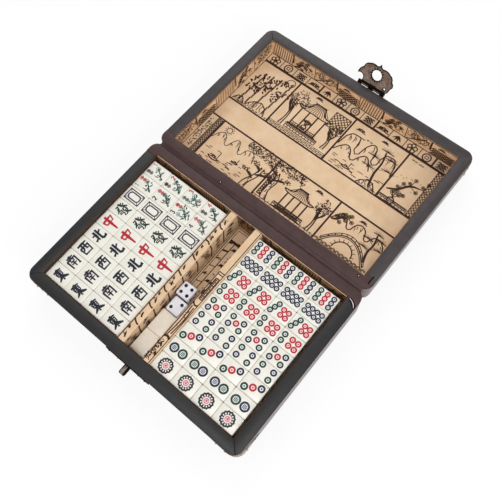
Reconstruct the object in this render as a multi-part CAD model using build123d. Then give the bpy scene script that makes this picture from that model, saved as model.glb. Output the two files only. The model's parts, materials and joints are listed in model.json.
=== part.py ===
from build123d import *
import math
import os

os.makedirs("parts", exist_ok=True)

# A travel tile-game case: two leatherette trays joined by a leather hinge, open flat as a book.
# X runs along the hinge, +Y from the base to the lid, +Z up. The origin is the centre of the
# base's bottom face. All sizes are in millimetres.

# ---- case ----
corner_r = 8.0          # outer corner radius seen from above
skin_t = 0.6            # leatherette over the boards
wall_t = 9.0            # wall boards
board_t = 3.0           # floor board and top board
lining_t = 0.8          # printed lining card
rim_t = 1.0             # trim strip and hinge leather on the wall tops
lid_depth = 17.4        # clear depth inside the lid

# ---- playing pieces ----
tile_w = 19.85          # tile length, along X
tile_d = 14.1           # tile width, along Y
tile_h = 10.0           # tile thickness
tile_gap = 0.15         # play between neighbouring tiles
tile_edge = 0.7         # eased tile edges
columns = 4             # tiles along X in a compartment
rows = 9                # tiles along Y in a compartment
rim_clear = 3.2         # the upper tiles lie this far under the rim
die_size = 12.8
die_edge = 0.9

# ---- compartments ----
divider_t = 6.9         # lined divider, all told
channel_w = 19.2        # clear width between the dividers
divider_drop = 1.2      # divider tops under the rim
side_play = 0.1         # tiles from the lining on their left and in front
left_room = 0.55        # left compartment's last column to the divider
right_room = 2.35       # right compartment's last column to the wall lining
rear_room = 3.8         # last rows to the rear lining
channel_places = {      # loose pieces: from the left divider, and from the piece in front
    "spare_tile_front": (1.7, 0.1),
    "spare_tile_rear": (1.7, 0.1),
    "die_front": (3.1, 0.4),
    "die_rear": (1.0, 1.3),
}
sleeve_r = 0.7          # rounded top edges of the divider sleeves

# ---- hinge ----
groove = 1.6            # between the two rear walls when open
closed_gap = 0.3        # between the rims when shut
strip_seam = 2.3        # the hinge leather reaches this far along the side rims
lip_t = 0.65            # hinge leather inside the groove
lip_drop = 5.0
lip_edge = 0.4

# ---- latch ----
latch_x = 1.5           # latch centre from the case's centre
plate_t = 1.0           # latch leaf and catch plate
plate_w = 45.0
plate_h = 15.0
leaf_drop = 2.0         # leaf's top edge under the lid's rim
catch_drop = 4.0        # catch plate's top edge under the base's rim
plate_wing = (          # half outline: fractions of half the width and of the height
    (0.733, 0), (0.902, 0.080), (1, 0.267), (0.929, 0.413), (0.800, 0.467), (0.769, 0.640),
    (0.644, 0.700), (0.489, 0.680), (0.400, 0.827), (0.244, 0.893), (0, 1),
)
plate_nails = ((18.4, -3.6), (10.6, -8.0))      # from the middle of the top edge, both sides
barrel_r = 1.6          # knuckles
pin_r = 0.7
pin_clear = 0.05
barrel_w = 27.0         # all five knuckles
knuckle_gap = 0.2
centre_knuckle = 4.8
inner_knuckle = 6.8     # the hasp's own two knuckles
barrel_out = 2.6        # barrel axis from the wall
barrel_drop = 0.5       # barrel axis under the lid's rim
hasp_t = 1.0
hasp_hole_r = 4.7
hasp_hole_v = 12.2      # hole centre from the barrel axis
hasp_curl = (11.2, 4.9, 1.0)        # eye of the closed curl: place and radius
hasp_root = 2.0         # the wings begin this far from the barrel axis
hasp_reach = 22.6       # tip of the spike from the barrel axis
hasp_wing = (           # outline: fractions of the reach and of the way from the root to the tip
    (0.531, 0), (0.637, 0.029), (0.681, 0.126), (0.704, 0.238), (0.761, 0.350), (0.735, 0.476),
    (0.659, 0.553), (0.602, 0.709), (0.469, 0.796), (0.292, 0.874), (0.133, 0.854),
    (0.049, 0.903), (0, 1), (-0.049, 0.903), (-0.133, 0.854), (-0.292, 0.874), (-0.460, 0.806),
    (-0.584, 0.709), (-0.611, 0.563), (-0.708, 0.456), (-0.752, 0.311), (-0.761, 0.252),
    (-0.743, 0.204), (-0.540, 0.233), (-0.487, 0),
)
hasp_lean = 26.0        # degrees that the open hasp leans out from square to the rim
staple_w = 4.6
staple_h = 5.0
staple_strip = 1.0
staple_out = 8.6        # staple's tip from the wall

# ---- corner guards and nails ----
guard_t = 0.5
guard_arm = 24.0
guard_h = 15.0
guard_body = 10.0       # full-height part of each arm
guard_neck = 4.5        # half height where the leaf begins
guard_neck_at = 14.0
guard_nails = ((10.6, -4.9), (10.6, 4.9), (19.6, 0.0))     # along the arm, and from its middle
nail_r = 0.9
nail_h = 0.6
nail_sides = 8
nail_taper = 30         # degrees

# ---- worked out ----
pitch_x = tile_w + tile_gap
pitch_y = tile_d + tile_gap
across = columns * pitch_x - tile_gap       # one compartment's tiles
along = rows * pitch_y - tile_gap
lined_x = (2 * (side_play + across + divider_t) + left_room + right_room + channel_w) / 2
lined_y = (side_play + along + rear_room) / 2       # half clear sizes between the linings
inner_x = lined_x + lining_t                # half clear sizes between the wall boards
inner_y = lined_y + lining_t
case_w = 2 * (inner_x + wall_t + skin_t)    # outer width of each half, along the hinge
case_d = 2 * (inner_y + wall_t + skin_t)    # outer depth of each half, front to hinge side
channel_left = -lined_x + side_play + across + left_room + divider_t
channel_right = channel_left + channel_w
base_h = skin_t + board_t + lining_t + 2 * tile_h + rim_clear
lid_h = skin_t + board_t + lining_t + lid_depth
floor_z = skin_t + board_t + lining_t       # top of the floor lining
hinge_y = case_d / 2 + groove / 2
hinge_z = base_h + closed_gap / 2
divider_top = base_h - divider_drop
mitre = 3 * corner_r                        # reach of the mitre wedges past the corners


def lid_rest_tilt():
    """Degrees that the open lid leans down until its far bottom edge is on the table."""
    reach = groove / 2 + case_d
    below = hinge_z - (base_h - lid_h)
    return math.degrees(math.asin(hinge_z / math.hypot(reach, below)) - math.atan2(below, reach))


lid_tilt = lid_rest_tilt()
hinge_axis = Axis((0, hinge_y, hinge_z), (1, 0, 0))


def lean(shape):
    """Turns a lid piece down about the hinge, from level to its rest on the table."""
    return shape.rotate(hinge_axis, -lid_tilt)


def on_lid(shape):
    """Takes a piece from a tray's own frame to the open lid."""
    turned = shape.rotate(Axis.Z, 180)
    return lean(Pos(0, hinge_y + groove / 2 + case_d / 2, base_h - lid_h) * turned)


def on_base(shape):
    """The base stands in its tray's own frame."""
    return shape


def slab(width, depth, radius, low, high):
    """A flat plate with rounded corners, between two heights."""
    outline = RectangleRounded(width, depth, radius) if radius else Rectangle(width, depth)
    return Pos(0, 0, low) * extrude(outline, high - low)


def block(x0, x1, y0, y1, z0, z1):
    """A box between its corner coordinates."""
    return Pos((x0 + x1) / 2, (y0 + y1) / 2, (z0 + z1) / 2) * Box(x1 - x0, y1 - y0, z1 - z0)


def wedge(side, low, high):
    """The mitre wedge that cuts one side out of a tray's ring of walls."""
    x, y = inner_x, inner_y
    corners = {
        "front": ((-x, -y), (x, -y), (x + mitre, -y - mitre), (-x - mitre, -y - mitre)),
        "rear": ((x, y), (-x, y), (-x - mitre, y + mitre), (x + mitre, y + mitre)),
        "left": ((-x, y), (-x, -y), (-x - mitre, -y - mitre), (-x - mitre, y + mitre)),
        "right": ((x, -y), (x, y), (x + mitre, y + mitre), (x + mitre, -y - mitre)),
    }[side]
    outline = make_face(Polyline(*corners, close=True))
    return Pos(0, 0, low) * extrude(outline, high - low)


def ring(width, depth, radius, low, high):
    """A tray's wall ring, from an outer outline in to the faces of the wall boards."""
    hole = block(-inner_x, inner_x, -inner_y, inner_y, low - 1, high + 1)
    return slab(width, depth, radius, low, high) - hole


# ---- the two trays: boards, skin, linings and rims ----

def bottom_skin():
    """Leatherette sheet under the board."""
    return slab(case_w, case_d, corner_r, 0, skin_t)


def wall_skin(height):
    """Leatherette band round the walls."""
    outside = slab(case_w, case_d, corner_r, skin_t, height - rim_t)
    inside = slab(case_w - 2 * skin_t, case_d - 2 * skin_t, corner_r - skin_t, 0, height)
    return outside - inside


def bottom_board():
    """The board inside the skin that the walls stand on."""
    return slab(case_w - 2 * skin_t, case_d - 2 * skin_t, corner_r - skin_t, skin_t, skin_t + board_t)


def wall(side, height):
    """One mitred wall board with its share of the rounded corners."""
    low = skin_t + board_t
    high = height - rim_t
    boards = ring(case_w - 2 * skin_t, case_d - 2 * skin_t, corner_r - skin_t, low, high)
    return boards & wedge(side, low, high)


def floor_lining():
    """Printed card over the floor."""
    return block(-inner_x, inner_x, -inner_y, inner_y, skin_t + board_t, floor_z)


def wall_lining(height):
    """Four printed cards against the walls, the side ones between the front and rear ones."""
    high = height - rim_t
    cards = []
    for end in (-1, 1):
        near, far = sorted((end * lined_y, end * inner_y))
        cards.append(block(-inner_x, inner_x, near, far, floor_z, high))
        near, far = sorted((end * lined_x, end * inner_x))
        cards.append(block(near, far, -lined_y, lined_y, floor_z, high))
    return Compound(children=cards)


def rim(side, height):
    """Trim strip on a wall's top; the side strips stop at the hinge leather."""
    low = height - rim_t
    strip = ring(case_w, case_d, corner_r, low, height) & wedge(side, low, height)
    seam = inner_y - strip_seam
    return strip & block(-case_w, case_w, -case_d, seam, low, height)


def side_rims(height):
    """The trim strips on the left and right walls."""
    return Compound(children=[rim("left", height), rim("right", height)])


def hinge_strip(height):
    """Half of the hinge leather: over the rear rim, round its corners and down into the groove."""
    low = height - rim_t
    seam = inner_y - strip_seam
    band = ring(case_w, case_d, corner_r, low, height) & block(-case_w, case_w, seam, case_d, low, height)
    straight = case_w / 2 - corner_r
    rear = case_d / 2
    lip = block(-straight, straight, rear, rear + lip_t, height - lip_drop, height)
    top_edge = lip.edges().filter_by(Axis.X).group_by(Axis.Z)[-1].sort_by(Axis.Y)[-1]
    return band + chamfer(top_edge, lip_edge)


# ---- dividers of the base ----

def divider_middle(side):
    """Centre line of a divider, -1 the left one and 1 the right one."""
    edge = channel_left if side < 0 else channel_right
    return edge + side * divider_t / 2


def divider_cores():
    """The two boards inside the dividers."""
    half = divider_t / 2 - lining_t
    boards = []
    for side in (-1, 1):
        x = divider_middle(side)
        boards.append(block(x - half, x + half, -lined_y, lined_y, floor_z, divider_top - lining_t))
    return Compound(children=boards)


def divider_sleeves():
    """Printed card folded over each divider board, with soft top edges."""
    half = divider_t / 2
    sleeves = []
    for side in (-1, 1):
        x = divider_middle(side)
        outside = block(x - half, x + half, -lined_y, lined_y, floor_z, divider_top)
        top_edges = outside.edges().filter_by(Axis.Y).group_by(Axis.Z)[-1]
        outside = fillet(top_edges, sleeve_r)
        inside = block(x - half + lining_t, x + half - lining_t, -lined_y, lined_y,
                       floor_z, divider_top - lining_t)
        sleeves.append(outside - inside)
    return Compound(children=sleeves)


# ---- playing pieces ----

def eased_block(width, depth, height, edge):
    """A block with eased edges, standing on the origin."""
    solid = Box(width, depth, height)
    return Pos(0, 0, height / 2) * chamfer(solid.edges(), edge)


tile = eased_block(tile_w, tile_d, tile_h, tile_edge)
die = eased_block(die_size, die_size, die_size, die_edge)


def first_tile_x(side):
    """Centre of a compartment's first column; the tiles stand to the left of each compartment."""
    edge = -lined_x if side < 0 else channel_right + divider_t
    return edge + side_play + tile_w / 2


def tile_row(side, row, level):
    """The four tiles across one row of a compartment."""
    x0 = first_tile_x(side)
    y = -lined_y + side_play + tile_d / 2 + row * pitch_y
    z = floor_z + level * tile_h
    return [Pos(x0 + column * pitch_x, y, z) * tile for column in range(columns)]


def lower_tiles(side):
    """The hidden layer of one compartment."""
    return Compound(children=[piece for row in range(rows) for piece in tile_row(side, row, 0)])


def channel_pieces():
    """Two spare tiles and two dice, one behind the other in the channel."""
    pieces = {}
    y = -lined_y
    turned_tile = tile.rotate(Axis.Z, 90)
    for name, (play, gap) in channel_places.items():
        if name.startswith("die"):
            solid, wide, deep = die, die_size, die_size
        else:
            solid, wide, deep = turned_tile, tile_d, tile_w
        x = channel_left + play + wide / 2
        pieces[name] = Pos(x, y + gap + deep / 2, floor_z) * solid
        y += gap + deep
    return pieces


# ---- latch ----

def arcs(points, wide, low, high):
    """Arcs through points, each a fraction of a width and of the way from low to high."""
    places = [(x * wide, low + y * (high - low)) for x, y in points]
    for start, middle, end in zip(places[:-2:2], places[1::2], places[2::2]):
        ThreePointArc(start, middle, end)


def plate_outline():
    """Outline of the latch leaf and of the catch plate: a bat-wing with a pointed foot."""
    half = plate_w / 2
    with BuildLine() as edge:
        Line((0, 0), (plate_wing[0][0] * half, 0))
        arcs(plate_wing, half, 0, -plate_h)
        mirror(about=Plane.YZ)
    return make_face(edge.line)


def wall_plate(x, top):
    """A latch plate flat against a tray's front wall."""
    flat = extrude(plate_outline(), plate_t)
    return Pos(x, -case_d / 2, top) * flat.rotate(Axis.X, 90)


def knuckle(x0, x1, tongue):
    """A rolled knuckle on the X axis with its pin bore, joined to the tongue of its plate."""
    middle = Pos((x0 + x1) / 2, 0, 0)
    roll = middle * Cylinder(barrel_r, x1 - x0, rotation=(0, 90, 0))
    bore = middle * Cylinder(pin_r + pin_clear, 2 * (x1 - x0), rotation=(0, 90, 0))
    return roll + tongue - bore


def knuckle_spans():
    """Ends of the leaf's three knuckles and of the hasp's two, from left to right."""
    half = centre_knuckle / 2
    hasp_from = half + knuckle_gap
    hasp_to = hasp_from + inner_knuckle
    outer_from = hasp_to + knuckle_gap
    end = barrel_w / 2
    leaf = ((-end, -outer_from), (-half, half), (outer_from, end))
    hasp = ((-hasp_to, -hasp_from), (hasp_from, hasp_to))
    return leaf, hasp


def latch_leaf():
    """The fixed leaf on the lid's front wall, with its three knuckles."""
    leaf = wall_plate(-latch_x, lid_h - leaf_drop)
    barrel = Pos(-latch_x, -case_d / 2 - barrel_out, lid_h - barrel_drop)
    for x0, x1 in knuckle_spans()[0]:
        tongue = block(x0, x1, barrel_r / 2, barrel_out, -leaf_drop, 0)
        leaf = leaf + barrel * knuckle(x0, x1, tongue)
    return leaf


def catch_plate():
    """The base's plate, which carries the staple."""
    return wall_plate(latch_x, base_h - catch_drop)


def staple_z():
    """Height of the staple: where the hasp's hole comes to when the case is shut."""
    shut_barrel = 2 * hinge_z - base_h + barrel_drop
    return shut_barrel - hasp_hole_v


def staple():
    """A strip bent to a loop that stands out of the catch plate, open from side to side."""
    half = staple_h / 2
    root = -case_d / 2 - plate_t
    tip = -case_d / 2 - staple_out
    middle = tip + half
    z = staple_z()
    outer = block(latch_x - staple_w / 2, latch_x + staple_w / 2, middle, root, z - half, z + half)
    nose = Cylinder(half, staple_w, rotation=(0, 90, 0))
    eye = half - staple_strip
    hole = block(latch_x - staple_w, latch_x + staple_w, middle, root - staple_strip, z - eye, z + eye)
    round_hole = Cylinder(eye, 2 * staple_w, rotation=(0, 90, 0))
    return outer + Pos(latch_x, middle, z) * nose - hole - Pos(latch_x, middle, z) * round_hole


def hasp_outline():
    """The hasp's wings: lobes and notches either side of a spike, one curl open, one closed."""
    with BuildLine() as edge:
        Line((hasp_wing[-1][0] * hasp_reach, hasp_root), (hasp_wing[0][0] * hasp_reach, hasp_root))
        arcs(hasp_wing, hasp_reach, hasp_root, hasp_reach)
    return make_face(edge.line)


def hasp():
    """The swinging hasp with its barrel on the X axis, leaned out from square to the rim."""
    curl_x, curl_v, curl_r = hasp_curl
    holes = Pos(0, hasp_hole_v) * Circle(hasp_hole_r) + Pos(curl_x, curl_v) * Circle(curl_r)
    leaf = extrude(hasp_outline() - holes, hasp_t / 2, both=True).rotate(Axis.X, 90)
    for x0, x1 in knuckle_spans()[1]:
        tongue = block(x0, x1, -hasp_t / 2, hasp_t / 2, 0, hasp_root + hasp_t)
        leaf = leaf + knuckle(x0, x1, tongue)
    return leaf.rotate(Axis.X, -hasp_lean)


def on_barrel(shape):
    """Puts a latch piece with its barrel on the origin onto the open lid's barrel."""
    y = hinge_y + groove / 2 + case_d + barrel_out
    return lean(Pos(latch_x, y, base_h - barrel_drop) * shape)


def hasp_pin():
    """The pin through all five knuckles."""
    return Cylinder(pin_r, barrel_w + 2 * knuckle_gap, rotation=(0, 90, 0))


# ---- corner guards and nails ----

def guard_profile(middle):
    """Leaf-shaped outline of a guard's arm, measured from the case's side at x = 0."""
    half = guard_h / 2
    neck_mid = (guard_body + 0.3 * (guard_neck_at - guard_body), guard_neck + 0.3 * (half - guard_neck))
    leaf_mid = (guard_neck_at + 0.46 * (guard_arm - guard_neck_at), guard_neck * 2 / 3)
    with BuildLine() as edge:
        for up in (-1, 1):
            Line((-guard_t, middle + up * half), (guard_body, middle + up * half))
            ThreePointArc((guard_body, middle + up * half), (neck_mid[0], middle + up * neck_mid[1]),
                          (guard_neck_at, middle + up * guard_neck))
            ThreePointArc((guard_neck_at, middle + up * guard_neck),
                          (leaf_mid[0], middle + up * leaf_mid[1]), (guard_arm, middle))
        Line((-guard_t, middle + half), (-guard_t, middle - half))
    return make_face(edge.line)


def corner_guards(middle):
    """A thin metal guard bent round each front corner of a tray."""
    outside = slab(case_w + 2 * guard_t, case_d + 2 * guard_t, corner_r + guard_t,
                   middle - guard_h, middle + guard_h)
    band = outside - slab(case_w, case_d, corner_r, middle - 2 * guard_h, middle + 2 * guard_h)
    arm = extrude(guard_profile(middle), corner_r + guard_t).rotate(Axis.X, 90)
    front_arm = Pos(-case_w / 2, -case_d / 2 + corner_r, 0) * arm
    side_arm = Pos(-case_w / 2 - guard_t, -case_d / 2, 0) * arm.rotate(Axis.Z, 90)
    guard = band & (front_arm + side_arm)
    return Compound(children=[guard, mirror(guard, about=Plane.YZ)])


def nail():
    """A tapered nail head on the origin, pointing up."""
    return extrude(RegularPolygon(nail_r, nail_sides), nail_h, taper=nail_taper)


def nails(guard_middle, plate_x, plate_edge):
    """Nail heads on both corner guards and on the latch plate of a tray."""
    forward = nail().rotate(Axis.X, 90)
    sideways = nail().rotate(Axis.Y, -90)
    heads = []
    for along, up in guard_nails:
        z = guard_middle + up
        front = Pos(-case_w / 2 + along, -case_d / 2 - guard_t, z) * forward
        beside = Pos(-case_w / 2 - guard_t, -case_d / 2 + along, z) * sideways
        heads += [front, beside, mirror(front, about=Plane.YZ), mirror(beside, about=Plane.YZ)]
    for across, up in plate_nails:
        for side in (-1, 1):
            heads.append(Pos(plate_x + side * across, -case_d / 2 - plate_t, plate_edge + up) * forward)
    return Compound(children=heads)


# ---- all nodes ----

nodes = {}

for name, place, height in (("base", on_base, base_h), ("lid", on_lid, lid_h)):
    flat = "_floor" if name == "base" else "_top"
    nodes[name + flat + "_skin"] = place(bottom_skin())
    nodes[name + flat + "_board"] = place(bottom_board())
    nodes[name + flat + "_lining"] = place(floor_lining())
    nodes[name + "_wall_skin"] = place(wall_skin(height))
    nodes[name + "_wall_lining"] = place(wall_lining(height))
    nodes[name + "_hinge_leather"] = place(hinge_strip(height))
    nodes[name + "_front_rim"] = place(rim("front", height))
    nodes[name + "_side_rims"] = place(side_rims(height))
    nodes[name + "_corner_guards"] = place(corner_guards(height / 2))
    for side in ("front", "rear", "left", "right"):
        # the lid's tray is turned round, so its own left is the case's right
        own_side = {"left": "right", "right": "left"}.get(side, side) if name == "lid" else side
        nodes[name + "_" + side + "_wall"] = place(wall(own_side, height))

nodes["base_nails"] = on_base(nails(base_h / 2, latch_x, base_h - catch_drop))
nodes["lid_nails"] = on_lid(nails(lid_h / 2, -latch_x, lid_h - leaf_drop))
nodes["divider_cores"] = divider_cores()
nodes["divider_sleeves"] = divider_sleeves()
nodes["catch_plate"] = catch_plate()
nodes["catch_staple"] = staple()
nodes["latch_leaf"] = on_lid(latch_leaf())
nodes["latch_hasp"] = on_barrel(hasp())
nodes["latch_pin"] = on_barrel(hasp_pin())

left_rows = ("east_wind", "south_wind", "west_wind", "north_wind", "red_dragon", "green_dragon",
             "white_dragon", "flowers", "seasons")
for row, kind in enumerate(left_rows):
    nodes["tiles_" + kind] = Compound(children=tile_row(-1, row, 1))
for row in range(rows):
    nodes["tiles_dots_" + str(row + 1)] = Compound(children=tile_row(1, row, 1))
nodes["lower_tiles_characters"] = lower_tiles(-1)
nodes["lower_tiles_bamboos"] = lower_tiles(1)
nodes.update(channel_pieces())

for name, shape in nodes.items():
    export_step(shape, "parts/" + name + ".step")
print(len(nodes), "nodes; the open lid leans", round(lid_tilt, 3), "degrees; base", round(base_h, 2),
      "high, lid", round(lid_h, 2), "high; staple at", round(staple_z(), 2))
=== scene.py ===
import json
import random
from math import acos, atan2, cos, pi, radians, sin, sqrt

import bmesh
import bpy
from mathutils import Matrix, Vector


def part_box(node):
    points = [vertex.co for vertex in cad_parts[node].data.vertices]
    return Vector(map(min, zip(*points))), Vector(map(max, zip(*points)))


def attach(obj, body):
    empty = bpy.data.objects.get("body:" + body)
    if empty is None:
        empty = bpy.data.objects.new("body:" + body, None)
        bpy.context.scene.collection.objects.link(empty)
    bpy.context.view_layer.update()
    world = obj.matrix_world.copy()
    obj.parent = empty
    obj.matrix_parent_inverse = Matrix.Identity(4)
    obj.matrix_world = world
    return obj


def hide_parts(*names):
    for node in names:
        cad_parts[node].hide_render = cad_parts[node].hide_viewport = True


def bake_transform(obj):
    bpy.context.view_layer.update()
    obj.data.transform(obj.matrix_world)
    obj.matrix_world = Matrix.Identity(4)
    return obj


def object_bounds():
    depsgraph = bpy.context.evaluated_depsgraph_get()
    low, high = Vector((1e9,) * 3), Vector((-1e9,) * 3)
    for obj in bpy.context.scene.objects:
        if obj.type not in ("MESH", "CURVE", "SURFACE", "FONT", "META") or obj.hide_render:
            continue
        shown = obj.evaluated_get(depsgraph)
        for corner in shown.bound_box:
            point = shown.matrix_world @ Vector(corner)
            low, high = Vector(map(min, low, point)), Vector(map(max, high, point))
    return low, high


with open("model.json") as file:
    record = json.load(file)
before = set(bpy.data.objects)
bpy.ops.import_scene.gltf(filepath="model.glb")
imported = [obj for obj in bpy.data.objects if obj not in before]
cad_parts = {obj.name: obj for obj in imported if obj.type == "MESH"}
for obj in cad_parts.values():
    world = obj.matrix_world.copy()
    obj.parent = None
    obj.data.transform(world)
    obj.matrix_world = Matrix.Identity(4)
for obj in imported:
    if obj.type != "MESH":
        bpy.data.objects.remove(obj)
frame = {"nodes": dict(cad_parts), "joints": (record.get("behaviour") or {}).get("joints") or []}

cad_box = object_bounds()
mm = 0.001
shift, still = Matrix.Translation, Matrix.Identity(4)

# A travel tile-game case, open flat as a book. X runs along the hinge, +Y from the base to the
# lid, +Z up. Drawings and marks are laid out in millimetres and scaled when they are placed.

# ---- places taken from the frame, and the CAD's own measures ----
joints = {joint["name"]: joint for joint in frame["joints"]}
hinge_at = Vector(joints["lid_hinge"]["pos_m"])
lean_angle = radians(joints["lid_hinge"]["range_deg"][1] - 180)
lean = shift(hinge_at) @ Matrix.Rotation(-lean_angle, 4, "X") @ shift(-hinge_at)
case_x, case_y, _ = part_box("base_wall_skin")[1]
wall_x, wall_y, floor_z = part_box("base_floor_lining")[1]
rim_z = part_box("base_front_rim")[1].z
card = 0.8 * mm
lined_x, lined_y = wall_x - card, wall_y - card
lid_depth = 17.4 * mm
lid_floor_z = rim_z - lid_depth
lid_middle_y = 2 * hinge_at.y               # the lid mirrors the base across the hinge
ink_lift = 0.05 * mm                        # print above its card, paint above its tile
stroke_rise, stroke_levels = 0.002 * mm, 4  # each stroke lies a little higher than the one before it


# ---- small tools ----

def linked(name, data):
    """A new object in the scene."""
    obj = bpy.data.objects.new(name, data)
    bpy.context.scene.collection.objects.link(obj)
    return obj


def pick(*objects):
    """Selects these objects alone, the first of them active."""
    bpy.ops.object.select_all(action="DESELECT")
    for obj in objects:
        obj.select_set(True)
    bpy.context.view_layer.objects.active = objects[0]


def settle(obj, matrix=still):
    """Puts an object's place, and one more if given, into its mesh."""
    bpy.context.view_layer.update()
    obj.data.transform(matrix @ obj.matrix_world)
    obj.matrix_world = still
    obj.data.update()
    return obj


def twin(obj, matrix):
    """A copy with its own mesh, moved."""
    copy = linked(obj.name, obj.data.copy())
    copy.data.transform(matrix)
    return copy


def joined(name, parts):
    """One object of several meshes."""
    if len(parts) > 1:
        pick(*parts)
        bpy.ops.object.join()
    parts[0].name = name
    parts[0].data.name = name
    return parts[0]


def smooth(obj, degrees=35):
    """Shades an object smooth but for edges sharper than this."""
    pick(obj)
    bpy.ops.object.shade_smooth_by_angle(angle=radians(degrees))
    return obj


def apply(obj, kind, **settings):
    """Adds a modifier with its settings and applies it."""
    pick(obj)
    modifier = obj.modifiers.new(kind.lower(), kind)
    for name, value in settings.items():
        setattr(modifier, name, value)
    bpy.ops.object.modifier_apply(modifier=modifier.name)
    return obj


def edited(obj, *steps, whole=True):
    """Runs edit-mode tools, each with its settings, on the whole mesh or on what is selected."""
    pick(obj)
    bpy.ops.object.mode_set(mode="EDIT")
    for tool, settings in steps:
        if whole:
            bpy.ops.mesh.select_all(action="SELECT")
        tool(**settings)
    bpy.ops.object.mode_set(mode="OBJECT")
    return obj


def cut(axis, place):
    """An edit step: a new line of edges all across, where x or y has this value."""
    normal = Vector((axis == "x", axis == "y", 0))
    return bpy.ops.mesh.bisect, {"plane_co": normal * place, "plane_no": normal, "threshold": 1e-7}


def rounded(obj, width, sharp):
    """Rounds the edges that turn by more than so many degrees."""
    return apply(obj, "BEVEL", width=width, segments=2, limit_method="ANGLE", angle_limit=radians(sharp))


def block(size, edge, segments):
    """A block about the origin with every edge rounded."""
    bpy.ops.mesh.primitive_cube_add(size=1)
    cube = bpy.context.object
    cube.scale = size
    bevel = {"offset": edge, "segments": segments, "affect": "EDGES"}
    return edited(settle(cube), (bpy.ops.mesh.bevel, bevel))


def ball(radius, place, segments, rings):
    """A sphere, not yet settled."""
    bpy.ops.mesh.primitive_uv_sphere_add(segments=segments, ring_count=rings, radius=radius, location=place)
    return bpy.context.object


def dressed(obj, material, body, slot, *nodes):
    """Gives a finished piece its finish and its body, and hides the CAD nodes that it stands for."""
    if material is not None:
        obj.data.materials.clear()
        obj.data.materials.append(material)
    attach(obj, body)
    if nodes:
        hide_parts(*nodes)
    return obj


def merged_copy(node, name):
    """A copy of a CAD node with its loose triangles merged to plain faces."""
    return edited(linked(name, frame["nodes"][node].data.copy()),
                  (bpy.ops.mesh.remove_doubles, {"threshold": 0.002 * mm}),
                  (bpy.ops.mesh.dissolve_limited, {"angle_limit": radians(0.5)}))


# ---- finishes ----

def linear(code):
    """sRGB hex to linear colour."""
    parts = [int(code[i:i + 2], 16) / 255 for i in (1, 3, 5)]
    return [c / 12.92 if c <= 0.04045 else ((c + 0.055) / 1.055) ** 2.4 for c in parts] + [1.0]


def add(material, kind, settings=None, links=None):
    """Adds a node with its settings, by input or property name, and its incoming links."""
    node = material.node_tree.nodes.new("ShaderNode" + kind)
    for name, value in (settings or {}).items():
        if isinstance(name, int) or name in node.inputs:
            node.inputs[name].default_value = value
        else:
            setattr(node, name, value)
    for name, (source, output) in (links or {}).items():
        material.node_tree.links.new(source.outputs[output], node.inputs[name])
    return node


MIX_A, MIX_B, MIX_OUT = 6, 7, 2             # colour sockets of a mix node


def finish(name, first, second, patch, roughness, grain, relief, cells=False, metallic=0.0, coat=0.0,
           ior=1.5):
    """Two colours in soft patches over a relief of grains. Patch, grain and relief are in millimetres."""
    material = bpy.data.materials.new(name)
    material.use_nodes = True
    shader = material.node_tree.nodes["Principled BSDF"]
    for socket, value in (("Roughness", roughness), ("Metallic", metallic), ("Coat Weight", coat),
                          ("Coat Roughness", 0.3), ("IOR", ior)):
        shader.inputs[socket].default_value = value
    place = {"Vector": (add(material, "TexCoord"), "Object")}
    patches = add(material, "TexNoise", {"Scale": 1 / (patch * mm), "Detail": 4.0, "Roughness": 0.6}, place)
    spread = add(material, "MapRange", {"From Min": 0.35, "From Max": 0.65}, {"Value": (patches, "Fac")})
    colour = add(material, "Mix", {"data_type": "RGBA", MIX_A: linear(first), MIX_B: linear(second)},
                 {0: (spread, "Result")})
    kind, settings, output = (("TexVoronoi", {"feature": "SMOOTH_F1"}, "Distance") if cells
                              else ("TexNoise", {"Detail": 3.0}, "Fac"))
    grains = add(material, kind, {**settings, "Scale": 1 / (grain * mm)}, place)
    bump = add(material, "Bump", {"Strength": 1.0, "Distance": relief * mm}, {"Height": (grains, output)})
    for socket, source in (("Base Color", colour.outputs[MIX_OUT]), ("Normal", bump.outputs["Normal"]),
                           ("Coat Normal", bump.outputs["Normal"])):
        material.node_tree.links.new(source, shader.inputs[socket])
    return material


# PVC leatherette, embossed and lacquered: dark red-brown, its fine pebble under a shine that pales walls
# seen aslant
leatherette = finish("brown_leatherette_embossed", "#4a2723", "#3b1d1a", 14, 0.38, 0.9, 0.05, cells=True,
                     coat=0.6)
# The same cloth-backed leatherette in a softer, purplish brown, worn matt along the fold
fold_leather = finish("hinge_leatherette_soft", "#442a28", "#392120", 9, 0.55, 0.8, 0.03, cells=True)
# Charcoal paper-backed trim, calendered matt: almost flat, with a faint tooth
trim = finish("charcoal_trim_calendered", "#1d1a1b", "#161415", 6, 0.5, 0.5, 0.015)
# The lid's trim: the same charcoal trim, painted a warmer, paler grey for the sheen the far lamp lays on it
lid_trim = finish("charcoal_trim_painted_sheen", "#3d3536", "#342d2e", 6, 0.5, 0.5, 0.015)
# Lining card, uncoated and printed tan: matt, with a warm mottle like old paper
lining = finish("tan_lining_card_printed", "#dfc2a1", "#d6b590", 11, 0.85, 0.35, 0.01)
# The same card on the lid's walls, printed a browner tan
wall_card = finish("brown_lining_card_printed", "#ecc9a2", "#dab084", 7, 0.85, 0.35, 0.01)
# The base's rear wall, lit by the open lid: the same print, painted a middle brown for the shade of the slot
# behind the tiles
rear_card_painted_shade = finish("lining_card_painted_shade_middle_brown", "#ab8458", "#8c6640", 6, 0.85, 0.35, 0.01)
# The base's wall card, its cut edge seen beside the tiles: painted dark brown for the shade of those narrow
# gaps
dark_card_painted_shade = finish("lining_card_painted_shade_dark", "#4a311d", "#33200f", 5, 0.85, 0.35, 0.01)
# Printing ink, matt dark brown, a little thin in places
ink = finish("dark_brown_printing_ink", "#2c0f04", "#3c190a", 4, 0.8, 0.35, 0.005)
# Dead black with no shine at all: the painted shadow in the trims' open seams
gap_shadow_black = finish("painted_gap_shadow", "#030303", "#060505", 2, 1.0, 0.3, 0.02, ior=1.05)
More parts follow.
